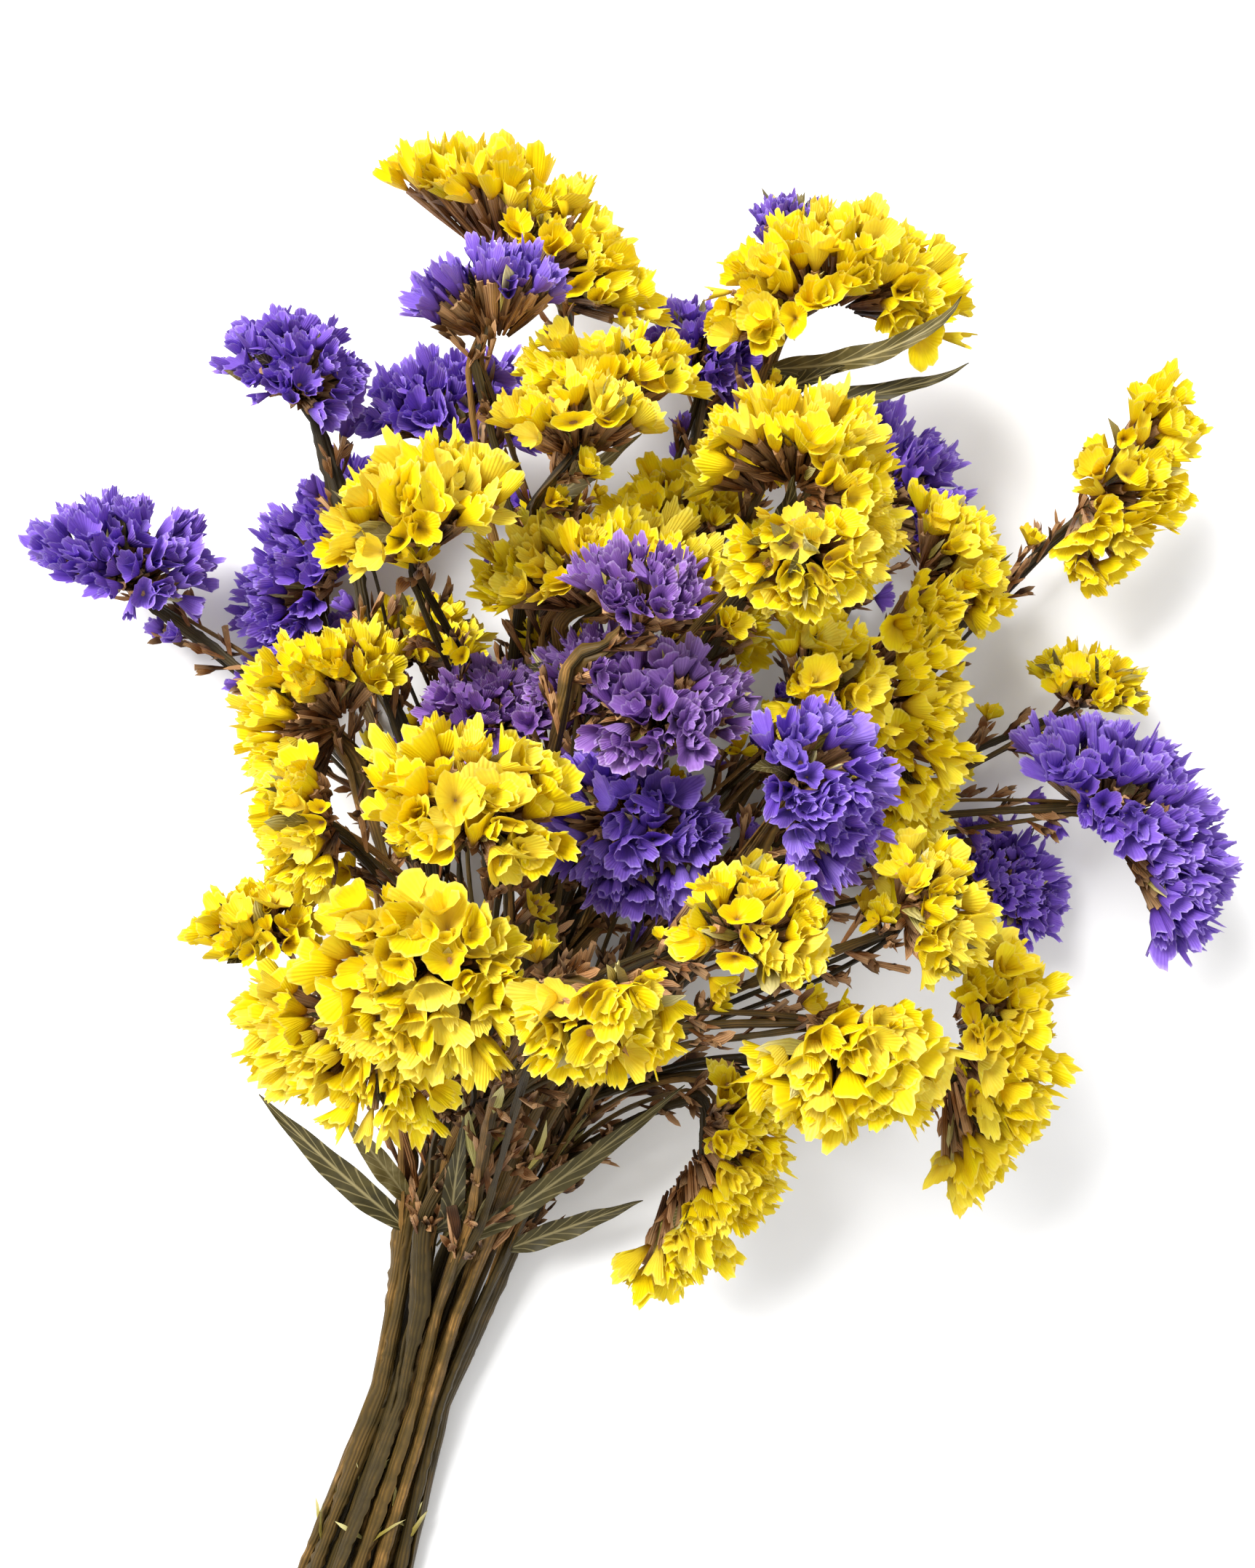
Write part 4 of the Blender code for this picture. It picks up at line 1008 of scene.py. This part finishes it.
def petal(name, stops, pale, shade, vein, through):
    """Dry papery calyx: colour from throat to rim, fine pleats, and light that passes through.

    The pleats run from throat to rim, 30 to a funnel, which is about 1.3 mm apart at the rim,
    and the paper is cloudy over 4 mm.
    """
    material, tree, output = new_material(name)
    sheet = add_node(tree, "ShaderNodeUVMap", {}, uv_map="sheet")
    parts = add_node(tree, "ShaderNodeSeparateXYZ", {0: sheet.outputs["UV"]})
    tone = add_node(tree, "ShaderNodeAttribute", {}, attribute_name="tone")
    where = add_node(tree, "ShaderNodeTexCoord", {})
    cloud = add_node(tree, "ShaderNodeTexNoise", {
        "Vector": where.outputs["Object"], "Scale": 1 / (4 * MM), "Detail": 3.0})
    base = add_node(tree, "ShaderNodeValToRGB", {"Fac": parts.outputs["Y"]}, stops)
    # Low tones mix toward the shade colour: random dullness, and painted shade on the lower heads.
    dull_and_shaded_share = add_node(tree, "ShaderNodeMapRange", {
        "Value": tone.outputs["Fac"], "From Min": 0.22, "From Max": 0.0, "To Max": 0.7})
    dull_and_shaded = add_node(tree, "ShaderNodeMix", {
        0: dull_and_shaded_share.outputs[0], 6: base.outputs[0], 7: linear(shade)}, data_type="RGBA")
    # High tones mix toward the pale colour: random paleness, and painted light on the higher heads.
    pale_and_lit_share = add_node(tree, "ShaderNodeMapRange", {
        "Value": tone.outputs["Fac"], "From Min": 0.62, "From Max": 1.0, "To Max": 0.55})
    pale_and_lit = add_node(tree, "ShaderNodeMix", {
        0: pale_and_lit_share.outputs[0], 6: dull_and_shaded.outputs[2], 7: linear(pale)}, data_type="RGBA")
    # The pleats are darkened toward the vein colour by up to a fifth: veins, and painted shade in the
    # pleat folds.
    turn = add_node(tree, "ShaderNodeMath", {
        0: parts.outputs["X"], 1: 2 * math.pi * 30}, operation="MULTIPLY")
    pleat = add_node(tree, "ShaderNodeMath", {0: turn.outputs[0]}, operation="SINE")
    depth = add_node(tree, "ShaderNodeMapRange", {
        "Value": pleat.outputs[0], "From Min": -1.0, "From Max": 1.0, "To Max": 0.2})
    veined = add_node(tree, "ShaderNodeMix", {
        0: depth.outputs[0], 6: pale_and_lit.outputs[2], 7: linear(vein)}, data_type="RGBA")
    clouded = add_node(tree, "ShaderNodeMapRange", {
        "Value": cloud.outputs[0], "From Min": 0.35, "From Max": 0.7, "To Max": 0.35})
    mottled = add_node(tree, "ShaderNodeMix", {
        0: clouded.outputs[0], 6: veined.outputs[2], 7: linear(vein)}, data_type="RGBA")
    bump = add_node(tree, "ShaderNodeBump", {
        "Height": pleat.outputs[0], "Strength": 0.3, "Distance": 0.3 * MM})
    skin = add_node(tree, "ShaderNodeBsdfPrincipled", {
        "Base Color": mottled.outputs[2], "Roughness": 0.55, "Normal": bump.outputs[0],
        "Specular IOR Level": 0.3})
    glow = add_node(tree, "ShaderNodeBsdfTranslucent", {
        "Color": mottled.outputs[2], "Normal": bump.outputs[0]})
    both = add_node(tree, "ShaderNodeMixShader", {0: through, 1: skin.outputs[0], 2: glow.outputs[0]})
    tree.links.new(both.outputs[0], output.inputs["Surface"])
    return material


def bark(name, stops, streak, tip, tip_share, roughness):
    """Dry stem or bract: broken streaks along the piece over clouds of its tones.

    Eleven streaks go round a piece, which is about 1.5 mm apart on a stem, and the clouds
    are 9 mm across. A bract dries to a paler tip.
    """
    material, tree, output = new_material(name)
    sheet = add_node(tree, "ShaderNodeUVMap", {}, uv_map="sheet")
    parts = add_node(tree, "ShaderNodeSeparateXYZ", {0: sheet.outputs["UV"]})
    tone = add_node(tree, "ShaderNodeAttribute", {}, attribute_name="tone")
    where = add_node(tree, "ShaderNodeTexCoord", {})
    cloud = add_node(tree, "ShaderNodeTexNoise", {
        "Vector": where.outputs["Object"], "Scale": 1 / (9 * MM), "Detail": 5.0})
    sway = add_node(tree, "ShaderNodeMath", {0: cloud.outputs[0], 1: 5.0}, operation="MULTIPLY")
    turn = add_node(tree, "ShaderNodeMath", {
        0: parts.outputs["X"], 1: 2 * math.pi * 11, 2: sway.outputs[0]}, operation="MULTIPLY_ADD")
    lines = add_node(tree, "ShaderNodeMath", {0: turn.outputs[0]}, operation="SINE")
    mixed = add_node(tree, "ShaderNodeMath", {
        0: tone.outputs["Fac"], 1: cloud.outputs[0]}, operation="ADD")
    spread = add_node(tree, "ShaderNodeMapRange", {
        "Value": mixed.outputs[0], "From Min": 0.4, "From Max": 1.45})
    toned = add_node(tree, "ShaderNodeValToRGB", {"Fac": spread.outputs[0]}, stops)
    depth = add_node(tree, "ShaderNodeMapRange", {
        "Value": lines.outputs[0], "From Min": -1.0, "From Max": 1.0, "To Max": 0.9})
    broken = add_node(tree, "ShaderNodeMath", {
        0: depth.outputs[0], 1: cloud.outputs[0]}, operation="MULTIPLY")
    streaked = add_node(tree, "ShaderNodeMix", {
        0: broken.outputs[0], 6: toned.outputs[0], 7: linear(streak)}, data_type="RGBA")
    near_tip = add_node(tree, "ShaderNodeMapRange", {
        "Value": parts.outputs["Y"], "From Min": 0.45, "From Max": 1.0, "To Max": tip_share})
    tipped = add_node(tree, "ShaderNodeMix", {
        0: near_tip.outputs[0], 6: streaked.outputs[2], 7: linear(tip)}, data_type="RGBA")
    bump = add_node(tree, "ShaderNodeBump", {
        "Height": lines.outputs[0], "Strength": 0.35, "Distance": 0.4 * MM})
    skin = add_node(tree, "ShaderNodeBsdfPrincipled", {
        "Base Color": tipped.outputs[2], "Roughness": roughness, "Normal": bump.outputs[0],
        "Specular IOR Level": 0.3})
    tree.links.new(skin.outputs[0], output.inputs["Surface"])
    return material


def blade(name, stops, vein, roughness):
    """Dry leaf: clouds of its tones under a paler midrib and slanting side veins.

    Nine veins leave each side of the midrib, which is 5 mm apart on a leaf 45 mm long, and
    the clouds are 7 mm across. Its edges are at the turns 0 and a half.
    """
    material, tree, output = new_material(name)
    sheet = add_node(tree, "ShaderNodeUVMap", {}, uv_map="sheet")
    parts = add_node(tree, "ShaderNodeSeparateXYZ", {0: sheet.outputs["UV"]})
    tone = add_node(tree, "ShaderNodeAttribute", {}, attribute_name="tone")
    where = add_node(tree, "ShaderNodeTexCoord", {})
    cloud = add_node(tree, "ShaderNodeTexNoise", {
        "Vector": where.outputs["Object"], "Scale": 1 / (7 * MM), "Detail": 5.0})
    mixed = add_node(tree, "ShaderNodeMath", {
        0: tone.outputs["Fac"], 1: cloud.outputs[0]}, operation="ADD")
    spread = add_node(tree, "ShaderNodeMapRange", {
        "Value": mixed.outputs[0], "From Min": 0.4, "From Max": 1.45})
    toned = add_node(tree, "ShaderNodeValToRGB", {"Fac": spread.outputs[0]}, stops)
    turn = add_node(tree, "ShaderNodeMath", {
        0: parts.outputs["X"], 1: 2 * math.pi}, operation="MULTIPLY")
    aside = add_node(tree, "ShaderNodeMath", {0: turn.outputs[0]}, operation="COSINE")
    off_middle = add_node(tree, "ShaderNodeMath", {0: aside.outputs[0]}, operation="ABSOLUTE")
    slant = add_node(tree, "ShaderNodeMath", {
        0: off_middle.outputs[0], 1: -1.7 * 2 * math.pi}, operation="MULTIPLY")
    phase = add_node(tree, "ShaderNodeMath", {
        0: parts.outputs["Y"], 1: 9 * 2 * math.pi, 2: slant.outputs[0]}, operation="MULTIPLY_ADD")
    side_vein = add_node(tree, "ShaderNodeMath", {0: phase.outputs[0]}, operation="COSINE")
    on_side = add_node(tree, "ShaderNodeMapRange", {
        "Value": side_vein.outputs[0], "From Min": 0.75, "From Max": 1.0, "To Max": 0.5})
    on_middle = add_node(tree, "ShaderNodeMapRange", {
        "Value": off_middle.outputs[0], "From Min": 0.2, "From Max": 0.05, "To Max": 0.75})
    on_vein = add_node(tree, "ShaderNodeMath", {
        0: on_side.outputs[0], 1: on_middle.outputs[0]}, operation="MAXIMUM")
    veined = add_node(tree, "ShaderNodeMix", {
        0: on_vein.outputs[0], 6: toned.outputs[0], 7: linear(vein)}, data_type="RGBA")
    bump = add_node(tree, "ShaderNodeBump", {
        "Height": on_vein.outputs[0], "Strength": 0.5, "Distance": 0.4 * MM})
    skin = add_node(tree, "ShaderNodeBsdfPrincipled", {
        "Base Color": veined.outputs[2], "Roughness": roughness, "Normal": bump.outputs[0],
        "Specular IOR Level": 0.4})
    tree.links.new(skin.outputs[0], output.inputs["Surface"])
    return material


def make_materials():
    """The dry papers, stems, bracts and leaves."""
    # In each calyx material, the first colour after the ramp is painted light for the higher heads and
    # the second is painted shade for the lower heads, both mixed with random tone.
    return {
        # Each calyx ramp runs from throat to rim. Its first stops darken the throat: partly the brown
        # foot of the calyx, partly painted shade deep in the funnel. Its last stop is a pale rim, a
        # painted highlight on the thin edges.
        "yellow": petal("papery_yellow_calyx", [
            (0.0, "#6E4210"), (0.16, "#BE8A05"), (0.34, "#F6D403"), (0.72, "#FBE904"),
            (0.92, "#FCEE18"), (1.0, "#FEF578"),
        ], "#FDF47C", "#D2A604", "#F0C802", 0.28),
        "purple": petal("papery_violet_calyx", [
            (0.0, "#4A2E18"), (0.16, "#3F2560"), (0.34, "#6642B0"), (0.72, "#8A62D4"),
            (0.92, "#9C76E0"), (1.0, "#CDB6F6"),
        ], "#B79CF0", "#6A449E", "#6440B2", 0.30),
        "mauve": petal("papery_mauve_calyx", [
            (0.0, "#4A2E18"), (0.16, "#482654"), (0.34, "#704398"), (0.72, "#9666BC"),
            (0.92, "#A97BCB"), (1.0, "#D6BCEA"),
        ], "#C4A2E4", "#6E4586", "#6C4296", 0.30),
        "stem": bark("dry_stem", [
            (0.0, "#1F1605"), (0.4, "#42340F"), (0.7, "#60481A"), (1.0, "#A0763A"),
        ], "#181004", "#A0763A", 0.0, 0.6),
        "bract": bark("rust_brown_bract", [
            (0.0, "#2A1706"), (0.4, "#583310"), (0.7, "#8A5524"), (1.0, "#C49262"),
        ], "#241304", "#C9A071", 0.55, 0.55),
        "leaf": blade("olive_dry_leaf", [
            (0.0, "#2B260C"), (0.5, "#4C431A"), (0.8, "#6E6030"), (1.0, "#8F8252"),
        ], "#A89A6A", 0.55),
        "straw": bark("straw_dry_leaf", [
            (0.0, "#7A6A20"), (0.5, "#AFA248"), (1.0, "#E0D88C"),
        ], "#7A6530", "#E8E0A8", 0.5, 0.7),
    }


def add_floor():
    """A plain pale floor."""
    bpy.ops.mesh.primitive_plane_add(size=6, location=(0, 0, 0))
    floor = bpy.context.object
    floor.name = "floor"
    material, tree, output = new_material("pale_floor")
    skin = add_node(tree, "ShaderNodeBsdfPrincipled", {"Base Color": linear("#F6F6F6"), "Roughness": 0.9})
    tree.links.new(skin.outputs[0], output.inputs["Surface"])
    floor.data.materials.append(material)


def add_light(name, place, size, power):
    """A square area light that faces the bunch."""
    lamp = bpy.data.lights.new(name, "AREA")
    lamp.size = size
    lamp.energy = power
    obj = bpy.data.objects.new(name, lamp)
    obj.location = place
    obj.rotation_euler = (Vector((0, 0.03, 0.05)) - Vector(place)).to_track_quat("-Z", "Y").to_euler()
    bpy.context.scene.collection.objects.link(obj)


def add_stage():
    """Floor, lights, world and camera."""
    add_floor()
    add_light("key", (-0.9, 0.9, 1.5), 0.9, KEY_POWER)
    add_light("fill", (1.3, -0.4, 1.3), 1.6, FILL_POWER)
    world = bpy.data.worlds.new("studio")
    world.use_nodes = True
    world.node_tree.nodes["Background"].inputs["Color"].default_value = (1, 1, 1, 1)
    world.node_tree.nodes["Background"].inputs["Strength"].default_value = WORLD_STRENGTH
    bpy.context.scene.world = world
    bpy.context.scene.view_settings.view_transform = "Standard"
    camera = bpy.data.cameras.new("camera")
    camera.sensor_width = 36
    camera.lens = LENS
    obj = bpy.data.objects.new("camera", camera)
    obj.location = EYE
    bpy.context.scene.collection.objects.link(obj)
    bpy.context.scene.camera = obj


def build():
    """Lay out the bunch as its solids are, and dress it spray by spray."""
    fans_of = [[Fan(head) for head in spray.heads] for spray in SPRAYS]
    ease_heads([fan for fans in fans_of for fan in fans])
    stems = lay_stems(SPRAYS, fans_of)
    ease_stems(stems, fans_of)
    materials = make_materials()
    for i, (spray, fans) in enumerate(zip(SPRAYS, fans_of)):
        rng = np.random.default_rng(SEED + i)
        dress_spray(i, spray, fans, stems, materials, rng)


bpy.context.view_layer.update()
build()
add_stage()
